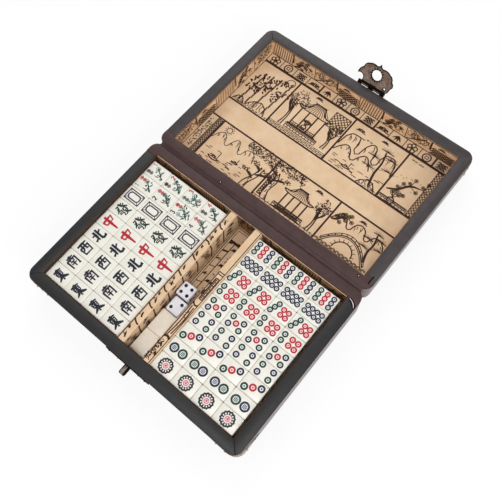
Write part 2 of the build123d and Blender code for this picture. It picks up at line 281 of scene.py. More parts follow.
# The trim's paper core, bare where its end has lifted: pale and fibrous
paper_core = finish("paper_core_torn", "#d8ccc6", "#bfb0aa", 2, 0.9, 0.3, 0.02)
# Fibreboard, pressed: raw brown, seen only where a lining lifts
board = finish("fibreboard_pressed", "#9a7a52", "#86683f", 3, 0.9, 0.6, 0.02)
# Cast urea resin, tumbled to a polish: warm ivory with soft highlights
ivory = finish("ivory_resin_polished", "#e9e6dd", "#e4e1d5", 5, 0.28, 2.0, 0.004, ior=1.54)
# The blanks' resin, painted paler than the tiles' to make up for the shade of the channel they lie in
blank = finish("ivory_resin_painted_light", "#fbf3e5", "#f5ebda", 5, 0.3, 2.0, 0.004, ior=1.54)
# Polystyrene dice, moulded and polished: cool white and glossy
dice_white = finish("white_polystyrene_polished", "#f0f0f8", "#eaeaf4", 4, 0.18, 2.0, 0.003, ior=1.59)
# Brass, antiqued and relieved by brushing: taupe bronze with brighter rubbed patches
bronze = finish("antique_brass_brushed", "#b3a195", "#85736a", 3, 0.42, 0.5, 0.03, metallic=1.0)
# A nail's crown, painted bright as its highlight
nail_crown = finish("nail_brass_painted_highlight", "#e6dacb", "#cbbcab", 2, 0.3, 0.5, 0.01, metallic=1.0)
# The same brass left dark in its hollows, where brushing doesn't reach
patina = finish("antique_brass_patina", "#221814", "#150f0c", 2, 0.6, 0.5, 0.02, metallic=1.0)
# Enamel paint wiped into the marks: flat colour with a slight unevenness, the black one a little duller
paints = {name.removeprefix("dark_"): finish(name + "_enamel_wiped", first, second, 2, dullness, 0.6, 0.004)
          for name, first, second, dullness in (
              ("navy", "#0c1022", "#14182f", 0.45), ("dark_green", "#0a261e", "#113229", 0.45),
              ("red", "#a80c20", "#b8172c", 0.45), ("teal", "#2a5a52", "#3d736a", 0.45),
              ("pale_blue", "#e6e8f3", "#dcdfee", 0.45), ("pale_green", "#e0ebe5", "#d3e2db", 0.45),
              ("pink", "#f8dcdd", "#f4ccd0", 0.45), ("black", "#08080c", "#0e0e14", 0.5))}
paints["ivory"] = ivory
paint_layers = {"pale_blue": 0.4, "pale_green": 0.4, "ivory": 1.2, "red": 1.2}      # others lie at 0.8


# ---- brush strokes ----
# A stroke is (points, widths, soft, closed) in millimetres. Soft ones curve through their points.
rng = random.Random(0)                      # one hand draws everything, seeded anew for each drawing
hair, thread, blade, fine, medium, rule, heavy_rule = 0.34, 0.36, 0.42, 0.44, 0.64, 0.95, 1.4     # pen widths


def at(x, y, reach, turn):
    """The point so far from another, in a direction."""
    return (x + reach * cos(turn), y + reach * sin(turn))


def turns(count, start=0.0):
    """Directions spread evenly round a circle."""
    return [2 * pi * i / count + start for i in range(count)]


def line(points, width=fine, closed=False):
    return (points, [width] * len(points), False, closed)


def curve(points, width=fine):
    return (points, [width] * len(points), True, False)


def dab(points, width=fine, end=0.15, start=0.6):
    """A brush stroke, full in its middle and thin at its end."""
    count = len(points) - 1
    widths = [width * (start + (1 - start) * min(1, 3 * i / count)) for i in range(count)] + [width * end]
    return (points, widths, count > 1, False)


def circle(x, y, radius, width, sides=18, start=0.0, sweep=2 * pi):
    """A ring, or an arc of one where the sweep isn't whole."""
    whole = sweep >= 2 * pi
    return line([at(x, y, radius, start + sweep * i / sides) for i in range(sides if whole else sides + 1)],
                width, whole)


def disc(x, y, radius, sides=18):
    """A filled round, as a ring as wide as its radius."""
    return circle(x, y, radius / 2, radius, sides)


def moved(strokes, x, y, scale=1.0, turn=0.0):
    """Strokes turned, scaled and moved, widths scaled too."""
    c, s = cos(turn) * scale, sin(turn) * scale
    return [([(x + c * px - s * py, y + s * px + c * py) for px, py in points],
             [w * scale for w in widths], soft, closed) for points, widths, soft, closed in strokes]


nib_line = bpy.data.curves.new("nib", "CURVE")
nib_line.splines.new("POLY").points.add(1)
for end, side_of in zip(nib_line.splines[0].points, (-0.5, 0.5)):
    end.co = (side_of * mm, 0, 0, 1)
nib = linked("nib", nib_line)


def as_mesh(obj):
    """Turns a curve into a mesh that looks up everywhere."""
    pick(obj)
    bpy.ops.object.convert(target="MESH")
    obj = bpy.context.object
    shape = bmesh.new()
    shape.from_mesh(obj.data)
    bmesh.ops.reverse_faces(shape, faces=[face for face in shape.faces if face.normal.z < 0])
    shape.to_mesh(obj.data)
    shape.free()
    return obj


def ribbons(name, strokes, matrix, material, resolution=4):
    """Flat ribbons as wide as each stroke, drawn in millimetres on a plane and placed by a matrix."""
    data = bpy.data.curves.new(name, "CURVE")
    data.dimensions, data.twist_mode, data.bevel_mode = "3D", "Z_UP", "OBJECT"
    data.bevel_object = nib
    data.resolution_u = resolution
    for k, (points, widths, soft, closed) in enumerate(strokes):
        height = k % stroke_levels * stroke_rise    # strokes that cross don't share a plane
        spline = data.splines.new("BEZIER" if soft else "POLY")
        knots = spline.bezier_points if soft else spline.points
        knots.add(len(points) - 1)
        for knot, (x, y), width in zip(knots, points, widths):
            knot.co = (x * mm, y * mm, height) if soft else (x * mm, y * mm, height, 1)
            knot.radius = width
            if soft:
                knot.handle_left_type = knot.handle_right_type = "AUTO"
        spline.use_cyclic_u = closed
    obj = as_mesh(linked(name, data))
    obj.data.transform(matrix)
    obj.data.materials.clear()
    obj.data.materials.append(material)
    return obj


# ---- playing tiles ----
tile_w, tile_d, tile_h = 19.85 * mm, 14.1 * mm, 10.0 * mm
tile_gap, tile_edge = 0.15 * mm, 0.75 * mm
columns = 4
down = Vector((0, 0, -tile_h))
tile_block = smooth(settle(block((tile_w, tile_d, tile_h), tile_edge, 3), shift(-down / 2)), 30)


def row_places(node):
    """Centres of a row's tiles on its top, from left to right."""
    low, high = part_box(node)
    step = tile_w + tile_gap
    return [Vector((low.x + tile_w / 2 + i * step, (low.y + high.y) / 2, high.z)) for i in range(columns)]


def tiles(node, name, body, places):
    """Tiles in one piece, under the places of their tops."""
    blocks = [twin(tile_block, shift(place + down)) for place in places]
    return dressed(joined(name, blocks), ivory, body, "tile_resin", node)


def together(*drawings):
    """Several drawings as one, by paint."""
    whole = {}
    for drawing in drawings:
        for paint, strokes in drawing.items():
            whole.setdefault(paint, []).extend(strokes)
    return whole


def marks(name, places, drawings, body):
    """The painted marks of several tiles. A mark's right is +Y and its top is -X."""
    sheets = together(*[{paint: moved(strokes, place.x / mm, place.y / mm, 1, pi / 2)
                         for paint, strokes in drawing.items()} for place, drawing in zip(places, drawings)])
    parts = [ribbons(name, strokes, shift((0, 0, places[0].z + ink_lift * paint_layers.get(paint, 0.8))),
                     paints[paint]) for paint, strokes in sheets.items()]
    return dressed(joined(name, parts), None, body, "tile_resin")


# Brush strokes of the wind and dragon marks, on a field of 100 by 100: points, then width
wind_strokes = {
    "east": (((18, 82), (50, 85), (83, 83), 9), ((50, 98), (50, 50), (49, 6), (42, 10), 9),
             ((27, 71), (30, 38), 8), ((28, 70), (71, 71), (69, 40), 7), ((31, 56), (69, 57), 6),
             ((31, 42), (69, 43), 7), ((48, 40), (34, 22), (10, 8), 9), ((52, 40), (68, 20), (93, 8), 11)),
    "south": (((22, 86), (50, 87), (79, 88), 8), ((50, 100), (49, 74), 9), ((15, 72), (17, 4), 9),
              ((15, 71), (84, 73), (83, 10), (73, 13), 9), ((34, 66), (42, 57), 8), ((67, 67), (57, 57), 8),
              ((31, 50), (69, 51), 7), ((27, 34), (73, 35), 7), ((50, 54), (50, 8), 9)),
    "west": (((10, 90), (50, 92), (91, 92), 9), ((16, 67), (20, 8), 9), ((16, 66), (84, 68), (80, 8), 9),
             ((38, 90), (38, 52), (27, 36), 8), ((61, 90), (60, 46), (74, 43), 8), ((20, 14), (80, 14), 8)),
    "north": (((36, 92), (36, 50), (35, 14), 10), ((9, 64), (34, 66), 9), ((5, 20), (38, 36), 10),
              ((88, 77), (62, 60), 9), ((60, 96), (59, 16), (72, 9), (92, 12), (92, 26), 10)),
    "red": (((8, 84), (17, 46), 10), ((6, 82), (50, 86), (92, 90), (82, 50), 10), ((16, 50), (82, 54), 9),
            ((50, 112), (50, 50), (50, -22), 12)),
    "green": (((20, 93), (42, 94), (30, 70), (2, 46), 8), ((19, 80), (29, 71), 8),
              ((56, 106), (68, 76), (102, 48), 10), ((82, 98), (71, 87), 7), ((93, 86), (81, 75), 7),
              ((16, 55), (42, 56), (41, 43), (18, 43), 6),
              ((18, 43), (15, 31), (43, 31), (40, 4), (29, 9), 7), ((58, 58), (57, 46), (49, 38), 7),
              ((59, 57), (77, 58), (78, 44), (90, 45), 7), ((52, 33), (83, 35), (70, 16), (47, 0), 7),
              ((57, 27), (72, 12), (95, -3), 9)),
}


def brushed(strokes, height=12.2, width=10.9, x=0.0, y=-0.2, heavy=1.95):
    """Brush strokes of one mark, scaled from their field and centred."""
    result = []
    for *points, weight in strokes:
        spots = [(x + (u / 100 - 0.5) * width, y + (v / 100 - 0.5) * height) for u, v in points]
        _, widths, _, _ = dab(spots, heavy * weight / 100 * height, 0.5, 0.8)
        result.append((spots, widths, False, False))
    return result


def coin(x, y, radius, dark, pale):
    """A dot: a pale round with a thick dark rim and a small dark ring in its middle."""
    return {pale: [disc(x, y, radius * 0.9)],
            dark: [circle(x, y, radius * 0.77, radius * 0.54), disc(x, y, radius * 0.24, 8)]}


shades = {"navy": ("navy", "pale_blue"), "green": ("green", "pale_green"), "red": ("red", "pink")}


def dots(radius, *spots):
    """Dots at (right, up, shade)."""
    return together(*[coin(x, y, radius, *shades[shade]) for x, y, shade in spots])


def wheel():
    """The one-dot: a ring of petals round a rose."""
    petals = turns(13)
    return {"navy": [disc(*at(0, 0, 5.6, a), 0.65, 8) for a in petals] + [circle(0, 0, 4.4, 2.8, 28)],
            "ivory": [dab([at(0, 0, r, a) for r in (3.3, 4.0, 4.6)], 1.0, 0.8, 0.5) for a in petals],
            "pink": [disc(0, 0, 2.65)],
            "red": [circle(*at(0, 0, 0.9, a), 0.55, 0.22, 8) for a in petals[::3]] + [
                circle(0, 0, 1.9, 0.4), disc(0, 0, 0.4, 8)]}


def grille_dot(x, y, radius, dark, pale):
    """A two-dot round: a thick rim and a grille of crossed bars."""
    bars = []
    for off, part in ((-0.3, 0.75), (0.0, 1.0), (0.3, 0.75)):
        off, reach = off * radius, radius * 0.54 * part
        bars += [across(x - reach, x + reach, y + off, radius * 0.11),
                 upright(x + off, y - reach, y + reach, radius * 0.11)]
    return {pale: [disc(x, y, radius * 0.9)], dark: [circle(x, y, radius * 0.84, radius * 0.42)] + bars}


def frame_mark():
    """The white dragon: a double frame with cut corners."""
    w, h, cut_off = 4.7, 7.3, 1.6
    inner_w, inner_h = w - 1.8, h - 1.8
    inner = [(-inner_w, -inner_h + cut_off), (-inner_w + cut_off, -inner_h)]
    inner += [(-x, y) for x, y in inner[::-1]]
    inner += [(x, -y) for x, y in inner[::-1]]
    return {"navy": box_lines(-w, -h, w, h, 1.35) + [line(inner, 1.2, closed=True)] + [
        line([(sx * (w - 0.2), sy * (h - 0.2)), (sx * (w - 2.5), sy * (h - 2.5))], 0.6)
        for sx in (-1, 1) for sy in (-1, 1)]}


# Plain figures, on a field of 100 by 100
figures = (
    (((35, 78), (55, 98), (55, 2), 14),),
    (((14, 78), (45, 98), (82, 78), (60, 40), (14, 4), 13), ((14, 4), (86, 4), 13)),
    (((16, 88), (55, 98), (78, 78), (45, 54), 13), ((45, 54), (86, 34), (60, 4), (14, 10), 13)),
    (((62, 98), (10, 32), (92, 32), 12), ((62, 98), (62, 2), 13)),
)


def sprig(kind):
    """A small flowering plant for a flower or season tile: dark strokes, teal strokes, pale fills."""
    dark = [dab([(-3.4, -7.2), (-1.4, -4.4), (0.6, -2.0), (2.6, 1.4)], 1.0, 0.6),
            dab([(-1.4, -4.4), (-3.4, -2.0), (-3.6, 0.8)], 0.9),
            dab([(0.0, -2.6), (2.6, -4.2), (4.4, -3.6)], 0.85)]
    teal, pale = [], []
    size = (1.7, 2.3, 2.8, 2.0)[kind]
    for i in range(11):
        spot = (-3.2 + 0.64 * i + rng.uniform(-2.0, 2.0), -6.4 + 0.76 * i + rng.uniform(-2.0, 1.6))
        turn = atan2(8.0, 6.4) + (1 if i % 2 else -1) * rng.uniform(0.5, 1.5)
        leaf = dab([spot, at(*spot, size * 0.5, turn), at(*spot, size, turn + 0.3)], 1.15, 0.35)
        (dark if i % 3 else teal).append(leaf)
    for x, y in ((2.9, 1.6), (1.0, -3.6), (-3.2, 1.4))[:1 + kind % 3]:
        teal += blossom(x, y, (2.0, 1.8, 1.9, 2.1)[kind], (5, 6, 4, 7)[kind], 0.4)
        pale.append(disc(x, y, 1.5, 12))
    return dark, teal, pale


def blossom(x, y, radius, petals, width):
    """Round petals about a small middle."""
    return [circle(*at(x, y, radius * 0.6, turn), radius * 0.42, width, 8)
            for turn in turns(petals, pi / 2)] + [disc(x, y, radius * 0.22, 6)]


def garden_mark(kind, figure_paint, seal_paint, figure_x, seal_x):
    """A flower or season tile: a figure, a small seal of petals and a sprig."""
    rng.seed(40 + kind)
    seal = blossom(seal_x, 7.2, 1.5, 4 + kind % 3, 0.6) + blossom(seal_x, 4.2, 1.4, 4, 0.6)
    dark, teal, pale = sprig(kind % 4)
    return {figure_paint: brushed(figures[kind % 4], 4.2, 3.2, figure_x, 6.2, 2.0), seal_paint: seal,
            "teal": teal, "green": dark, "pale_green": pale,
            "pink": [disc(seal_x, 7.2, 1.2, 10)] if seal_paint == "red" else []}


# ---- printed drawings of the lining ----
# A general pattern of gardens, hills, water, buildings and borders. Each function returns strokes.

press_gain = 1.75                           # ink spreads: strokes print this much wider than drawn


def placed(draw):
    """Puts a motif, drawn about its own foot, at the x and y that its call gives first."""
    def put(x, y, *sizes):
        return moved(draw(*sizes), x, y)
    return put


def across(x0, x1, y, width=fine):
    return line([(x0, y), (x1, y)], width)


def upright(x, y0, y1, width=fine):
    return line([(x, y0), (x, y1)], width)


def box_lines(x0, y0, x1, y1, width=fine):
    return [line([(x0, y0), (x1, y0), (x1, y1), (x0, y1)], width, closed=True)]


@placed
def dabs(wide, high, count, length=1.3, width=0.55):
    """Short brush dabs scattered in an oval, as leaves or moss."""
    strokes = []
    for _ in range(count):
        angle, reach = rng.uniform(0, 2 * pi), sqrt(rng.random())
        spot = (wide / 2 * reach * cos(angle), high / 2 * reach * sin(angle))
        strokes.append(dab([spot, at(*spot, length, rng.uniform(0, pi))], width, 0.4, 1.0))
    return strokes


def ridge(x0, x1, y, high, peaks, width=medium):
    """A line of hills with brushed slopes."""
    count = peaks * 4
    points = []
    for t in (i / count for i in range(count + 1)):
        swell = abs(sin(pi * peaks * t)) ** 0.8
        points.append((x0 + (x1 - x0) * t, y + high * swell * rng.uniform(0.7, 1.0)))
    strokes = [curve(points, width)]
    for px, py in points[1:-1]:
        for k in range(2):
            drop, slant = (py - y) * rng.uniform(0.25, 0.6), rng.uniform(0.4, 1.6)
            sx, sy = px + rng.uniform(-1.0, 1.0), py - 0.8 - 1.2 * k
            if drop > 1:
                strokes.append(dab([(sx, sy), (sx + slant, sy - drop / 2), (sx + slant * 0.8, sy - drop)]))
    return strokes


@placed
def cloud(size, width=fine):
    """Three curls over a trailing line."""
    strokes = []
    for dx, r in ((0, 0.8), (1.3, 1.1), (2.7, 0.75)):
        strokes += [circle(dx * size, 0, r * size, width, 8, -0.2, pi * 1.2),
                    circle(dx * size, 0, r * size * 0.45, width, 6, 0, pi * 1.3)]
    trail = [(-1.8 * size, -0.7 * size), (0.5 * size, -0.4 * size), (4.6 * size, -0.8 * size)]
    return strokes + [curve(trail, width)]


@placed
def leafy_tree(high, wide, leaves):
    """A forked trunk under a crown of dense dabs."""
    top = high * 0.55
    strokes = [curve([(1.6 * off, 0), (off + 0.8, high * 0.25), (off - 0.6, top)], medium)
               for off in (-0.9, 0.9)]
    for k in range(5):
        bend = rng.uniform(-0.45, 0.45) * wide
        strokes += [dab([(0, high * (0.32 + 0.05 * k)), (bend * 0.6, top), (bend, high * 0.78)], 0.8, 0.3),
                    dab([(-0.5, high * 0.08 * k), (0.5, high * (0.08 * k + 0.05))])]
    for dx, dy, part in ((-0.28, 0.72, 0.5), (0.26, 0.76, 0.5), (0, 0.9, 0.55), (-0.1, 0.62, 0.4)):
        strokes += dabs(dx * wide, dy * high, wide * part, high * part * 0.55, leaves // 4)
    return strokes


def tapering(spine, off, shrink):
    """One side of a trunk that thins along its spine."""
    return curve([(px + off * (1 - i * shrink), py) for i, (px, py) in enumerate(spine)], medium)


@placed
def pine(high, slant):
    """A bent trunk with fans of needles."""
    spine = [(0, 0), (slant * 0.3 - 1.2, high * 0.35), (slant * 0.7 + 1.0, high * 0.68), (slant, high)]
    strokes = [tapering(spine, off, 0.25) for off in (-0.6, 0.6)]
    for part, reach in ((0.42, -1), (0.55, 1), (0.72, -0.9), (0.85, 0.8), (1.0, 0.1)):
        fx, fy = slant * part + reach * high * 0.24, high * (part + 0.03)
        strokes.append(dab([(slant * part, high * (part - 0.06)), (fx, fy)], 0.6))
        for k in range(9):
            angle, size = pi * (0.05 + 0.9 * k / 8), high * 0.13 * rng.uniform(0.8, 1.1)
            strokes.append(dab([(fx, fy), (fx + size * 1.5 * cos(angle), fy + size * sin(angle))], blade))
        strokes.append(across(fx - high * 0.18, fx + high * 0.18, fy - 0.2))
    return strokes


@placed
def bamboo(high, leaves):
    """A jointed stem with falling leaves."""
    strokes, joints = [], 5
    for k in range(joints):
        low, top = high * k / joints + 0.4, high * (k + 1) / joints - 0.4
        bend = 0.02 * high * k
        strokes += [line([(bend - 0.45, low), (bend - 0.35, top)]),
                    line([(bend + 0.45, low), (bend + 0.55, top)]),
                    across(bend - 0.7, bend + 0.8, top + 0.4, 0.5)]
    for _ in range(leaves):
        spot = (rng.uniform(-4.5, 5.5), high * rng.uniform(0.4, 1.0))
        turn, size = rng.uniform(-2.6, -0.5), rng.uniform(2.2, 3.6)
        strokes.append(dab([spot, at(*spot, size * 0.5, turn), at(*spot, size, turn)], 0.95, 0.1))
    return strokes


@placed
def pavilion(wide, high):
    """An open garden house: a stepped floor, posts, a rail and a roof with upturned eaves."""
    half, eave, top = wide / 2, high * 0.6, high * 0.92
    strokes = [across(-half, half, 0, medium), across(-half - 1, half + 1, -1),
               curve([(-half - 3.2, eave + 1.8), (-half, eave), (0, eave - 0.5), (half, eave),
                      (half + 3.2, eave + 1.8)], medium)]
    for s in (-1, 1):
        ridge_end = (s * half * 0.35, top)
        strokes += [curve([(s * (half + 3.2), eave + 1.8), (s * half * 0.6, eave + 3.4), ridge_end], medium),
                    dab([ridge_end, (s * half * 0.5, top + 1.5)], 0.6)]
    strokes.append(across(-half * 0.4, half * 0.4, top, 0.8))
    strokes += [line([(k * half * 0.055, top - 0.3), (k * half * 0.16, eave + 0.3 + 0.02 * k * k)], hair)
                for k in range(-6, 7)]
    strokes += [upright(post * half + off, 0, eave)
                for post in (-0.85, -0.3, 0.3, 0.85) for off in (-0.3, 0.35)]
    strokes += [across(-half * 0.85, half * 0.85, up) for up in (1.2, 3.2)]
    return strokes + [line([(x, 1.2), (x + 0.8, 3.2)], hair)
                      for x in (half * (0.155 * k - 0.85) for k in range(12))]


@placed
def bridge(wide, rise):
    """A hump bridge with a rail and an arch."""
    half, arch = wide / 2, rise * 0.62
    deck = [(-half, 0), (-half * 0.5, rise * 0.75), (0, rise), (half * 0.5, rise * 0.75), (half, 0)]
    strokes = [curve(deck, medium), curve([(px, py + 2.2) for px, py in deck]),
               curve([(px * 0.96, py - 1.4) for px, py in deck])]
    for t in (-1 + 0.2 * k for k in range(11)):
        strokes.append(upright(half * t, rise * (1 - t * t), rise * (1 - t * t) + 2.3))
    strokes.append(circle(0, 0, arch, medium, 12, 0, pi))
    return strokes + [line([at(0, 0, arch, turn), at(0, 0, rise * 0.8, turn)], hair)
                      for turn in (pi * (k + 0.5) / 9 for k in range(9))]


def waves(x0, x1, y0, y1, pitch):
    """Rows of overlapping scales."""
    strokes = []
    y, row = y0, 0
    while y < y1:
        x = x0 + pitch / 2 + row % 2 * pitch / 2
        while x + pitch / 2 <= x1:
            strokes += [circle(x, y, pitch * r, thread, 6, 0.15, pi - 0.3) for r in (0.48, 0.28)]
            x += pitch
        y += pitch * 0.42
        row += 1
    return strokes


def ripples(x0, x1, y0, y1, count):
    """Short level lines of still water."""
    strokes = []
    for _ in range(count):
        x, y, reach = rng.uniform(x0, x1 - 5), rng.uniform(y0, y1), rng.uniform(2.5, 6)
        strokes.append(curve([(x, y), (x + reach / 2, y + 0.3), (x + reach, y)], 0.38))
    return strokes


@placed
def rock(wide, high):
    """A cracked garden rock."""
    steps = 7
    outline = [(wide * i / steps - wide / 2, high * sin(pi * i / steps) ** 0.6 * rng.uniform(0.65, 1.0))
               for i in range(steps + 1)]
    strokes = [line(outline, medium)]
    strokes += [line([(x, y), (x + rng.uniform(-1, 1), y * 0.55), (x + rng.uniform(-1.5, 1.5), y * 0.2)])
                for x, y in outline[1:-1]]
    return strokes + dabs(0, 0.3, wide, 1.2, int(wide * 1.2), 0.9, 0.45)


@placed
def boat(size):
    """A small roofed boat."""
    return [curve([(-4 * size, size), (-2 * size, 0), (2 * size, 0), (4 * size, 1.2 * size)], medium),
            line([(-3.9 * size, size), (4 * size, 1.1 * size)]), circle(0, size, 1.4 * size, fine, 8, 0, pi),
            circle(0, size, size, fine, 8, 0, pi), upright(2.2 * size, size, 6 * size)]


@placed
def birds(count):
    """A string of birds far off."""
    strokes = []
    for k in range(count):
        x, y = 3.2 * k + rng.uniform(-0.5, 0.5), rng.uniform(-1.2, 1.2)
        wings = [(x - 1.2, y + 0.5), (x - 0.5, y + 0.7), (x, y), (x + 0.6, y + 0.8), (x + 1.3, y + 0.5)]
        strokes.append(curve(wings, blade))
    return strokes


@placed
def sun(radius):
    """A ring with rays."""
    return [circle(0, 0, radius, fine, 16)] + [
        line([at(0, 0, radius * 1.35, turn), at(0, 0, radius * 1.8, turn)], thread) for turn in turns(12)]


def grille(x0, y0, x1, y1, step):
    """A window grille of crossed slanting bars."""
    strokes = box_lines(x0, y0, x1, y1, medium)
    offset = y0 - y1 + step / 2
    while offset < x1 - x0:
        low, top = max(0.0, -offset), min(y1 - y0, x1 - x0 - offset)
        strokes += [line([(x0 + offset + low, y0 + low), (x0 + offset + top, y0 + top)]),
                    line([(x0 + offset + low, y1 - low), (x0 + offset + top, y1 - top)])]
        offset += step
    return strokes


def masonry(x0, y0, x1, y1, course, block):
    """Courses of bricks."""
    strokes = box_lines(x0, y0, x1, y1)
    y, row = y0, 0
    while y < y1 - 0.01:
        strokes.append(across(x0, x1, y, thread))
        x = x0 + block * (0.5 if row % 2 else 1.0)
        while x < x1:
            strokes.append(upright(x, y, min(y + course, y1), thread))
            x += block
        y += course
        row += 1
    return strokes


@placed
def key_fret(w, h):
    """A square spiral."""
    spiral = [(0, 0), (w * 0.82, 0), (w * 0.82, h), (w * 0.2, h), (w * 0.2, h * 0.35), (w * 0.55, h * 0.35),
              (w * 0.55, h * 0.65)]
    return [line(spiral), across(w * 0.82, w, 0)]


@placed
def plum_branch(reach):
    """A knotted branch with blossoms and buds."""
    spine = [(u * reach, v * reach) for u, v in ((0, 0), (0.3, 0.18), (0.55, 0.5), (0.95, 0.62))]
    strokes = [dab(spine, 1.3, 0.3)]
    for bx, by in spine[1:]:
        for tip in (at(bx, by, reach * 0.28, 1.4), at(bx, by, reach * 0.28, -0.35)):
            strokes += [dab([(bx, by), tip], 0.7, 0.4)] + blossom(*tip, 1.7, 5, thread)
        strokes += blossom(bx - 1.5, by + 2.2, 1.5, 5, thread)
    return strokes + dabs(reach * 0.5, reach * 0.55, reach * 0.9, reach * 0.5, 12, 0.7, 0.6)


def grass(x0, x1, y, count):
    """Tufts of three blades."""
    feet = [rng.uniform(x0, x1) for _ in range(count)]
    return [dab([(x, y), at(x, y, 1.6, turn)], blade) for x in feet for turn in (1.1, 1.55, 2.0)]


@placed
def small_motif(kind, size):
    """One of the little devices that fill a border's cells."""
    square, foot = size * 0.16, size * 0.35
    return (blossom(0, 0, size * 0.55, 5, 0.62), cloud(-size * 0.3, 0, size * 0.24, 0.6),
            [circle(0, 0, size * 0.45, 0.7, 12)] + box_lines(-square, -square, square, square, 0.6),
            [dab([(0, foot), at(0, foot, size * 0.35, turn), at(0, foot, size * 0.75, turn)], 1.0, 0.2)
             for turn in (-2.4, -1.9, -1.4, -0.9)],
            waves(-size * 0.55, size * 0.55, -size * 0.4, size * 0.3, size * 0.36))[kind]


def canopy(x0, x1, y, deep):
    """Leaves hanging from the top of a picture, in ragged clumps."""
    strokes = []
    x = x0
    while x < x1:
        clump = rng.uniform(4.0, 7.0)
        strokes += dabs(x + clump / 2, y - deep * rng.uniform(0.25, 0.5), clump, deep * rng.uniform(0.6, 1.0),
                        int(clump * deep * 0.55))
        x += clump * 0.75
    return strokes


def fence(x0, x1, y, high):
    """A garden fence: two rails, posts and a lattice between."""
    count = int((x1 - x0) / 3.2)
    step = (x1 - x0) / count
    strokes = [across(x0, x1, y), across(x0, x1, y + high, medium)]
    strokes += [upright(x0 + k * step, y, y + high) for k in range(count + 1)]
    for x in (x0 + k * step for k in range(count)):
        strokes += [across(x, x + step, y + high * 0.5, thread),
                    circle(x + step / 2, y + high * 0.75, high * 0.14, thread, 6)]
    return strokes


@placed
def old_trunk(high, slant):
    """A thick gnarled trunk with knots and three boughs."""
    spine = [(0, 0), (slant * 0.35 - 1.5, high * 0.35), (slant * 0.6 + 1.2, high * 0.7), (slant, high)]
    strokes = [tapering(spine, off * 1.25, 0.16) for off in (-2.2, 2.2)]
    for t in (k / 9 for k in range(9)):
        x, y = slant * t * 0.8 + rng.uniform(-1.2, 1.2), high * t
        strokes.append(curve([(x - 0.9, y), (x, y + 1.4), (x - 0.4, y + 3.0)]))
    for part, reach in ((0.55, -9), (0.7, 9), (0.85, -7)):
        x, y = slant * part, high * part
        strokes.append(dab([(x, y), (x + reach * 0.5, y + 2.6), (x + reach, y + 3.4)], 1.5, 0.25))
        strokes += dabs(x + reach, y + 4.5, 9, 5, 30)
    return strokes


@placed
def vase(size):
    """A vase of stems on a stand."""
    strokes = [curve([(s * 0.5 * size, 2 * size), (s * 1.1 * size, 1.2 * size), (s * 0.6 * size, 0)], medium)
               for s in (-1, 1)]
    strokes += [across(-0.6 * size, 0.6 * size, 2 * size, medium), across(-1.3 * size, 1.3 * size, 0, medium)]
    for turn in (1.0, 1.57, 2.1):
        top = (2.2 * size * cos(turn), (2 + 2.4 * sin(turn)) * size)
        strokes += [line([(0, 2 * size), top])] + blossom(*top, 0.7 * size, 5, 0.4)
    return strokes + dabs(0, 3.2 * size, 2.6 * size, 2 * size, 10, 1.1, 0.6)


def lid_floor_drawing(wide, high):
    """The lid's floor: a border of cells, four upper pictures, a plain band and three lower ones."""
    rng.seed(7)
    border, band_top, band_low, cells = high - 10.0, 69.5, 47.5, 13
    strokes = [across(0, wide, y, width)
               for y, width in ((border, heavy_rule), (band_top, rule), (band_low, rule))]
    for k in range(cells):
        x = wide * k / cells
        if k:
            strokes.append(upright(x, border, high, fine if k % 4 else rule))
        strokes += small_motif(x + wide / cells / 2, border + 5.0, k * 2 % 5, 8.6)
    strokes += moved(upper_pictures(wide, border - band_top), 0, band_top)
    return strokes + lower_pictures(wide, band_low)


def upper_pictures(wide, high):
    """From left to right: bamboo and rock, house and tree, hills and pine, plum branch and vase."""
    strokes = [upright(x, 0, high, rule) for x in (42, 104, 160)]
    for x, leaves in ((8, 24), (15, 30), (23, 28), (34, 26)):
        strokes += bamboo(x, 3, 36 + x * 0.2, leaves)
    strokes += rock(26, 1.5, 22, 13) + rock(8, 1.2, 12, 7) + [circle(35, high - 7, 4.2, fine, 18)]
    strokes += cloud(30, high - 8.4, 1.0) + grass(2, 40, 1.2, 16)
    strokes += pavilion(72, 12, 30, 34) + leafy_tree(52, 6, 40, 22, 210) + leafy_tree(97, 8, 28, 13, 120)
    strokes += masonry(43, 0.6, 103, 5, 1.5, 5) + fence(57, 90, 6.5, 4.6) + vase(72, 14, 2.0)
    strokes += grille(86, 30, 102, 47, 3.6) + cloud(64, high - 4, 1.3)
    strokes += ridge(105, 159, 22, 22, 3) + ridge(105, 142, 15, 12, 2)
    strokes += pine(150, 4, 36, -6) + cloud(112, high - 8, 1.6) + cloud(136, high - 5, 1.2)
    strokes += ripples(105, 159, 2, 13, 26) + boat(124, 6, 1.2) + rock(148, 1, 18, 9)
    strokes += birds(118, high - 14, 4) + plum_branch(163, 12, 27) + birds(166, high - 5, 4)
    strokes += vase(172, 1.5, 2.8)
    return strokes + fence(161, 188, 1.2, 4.0) + grille(wide - 6.5, 1, wide - 1, high - 1, 3.2)


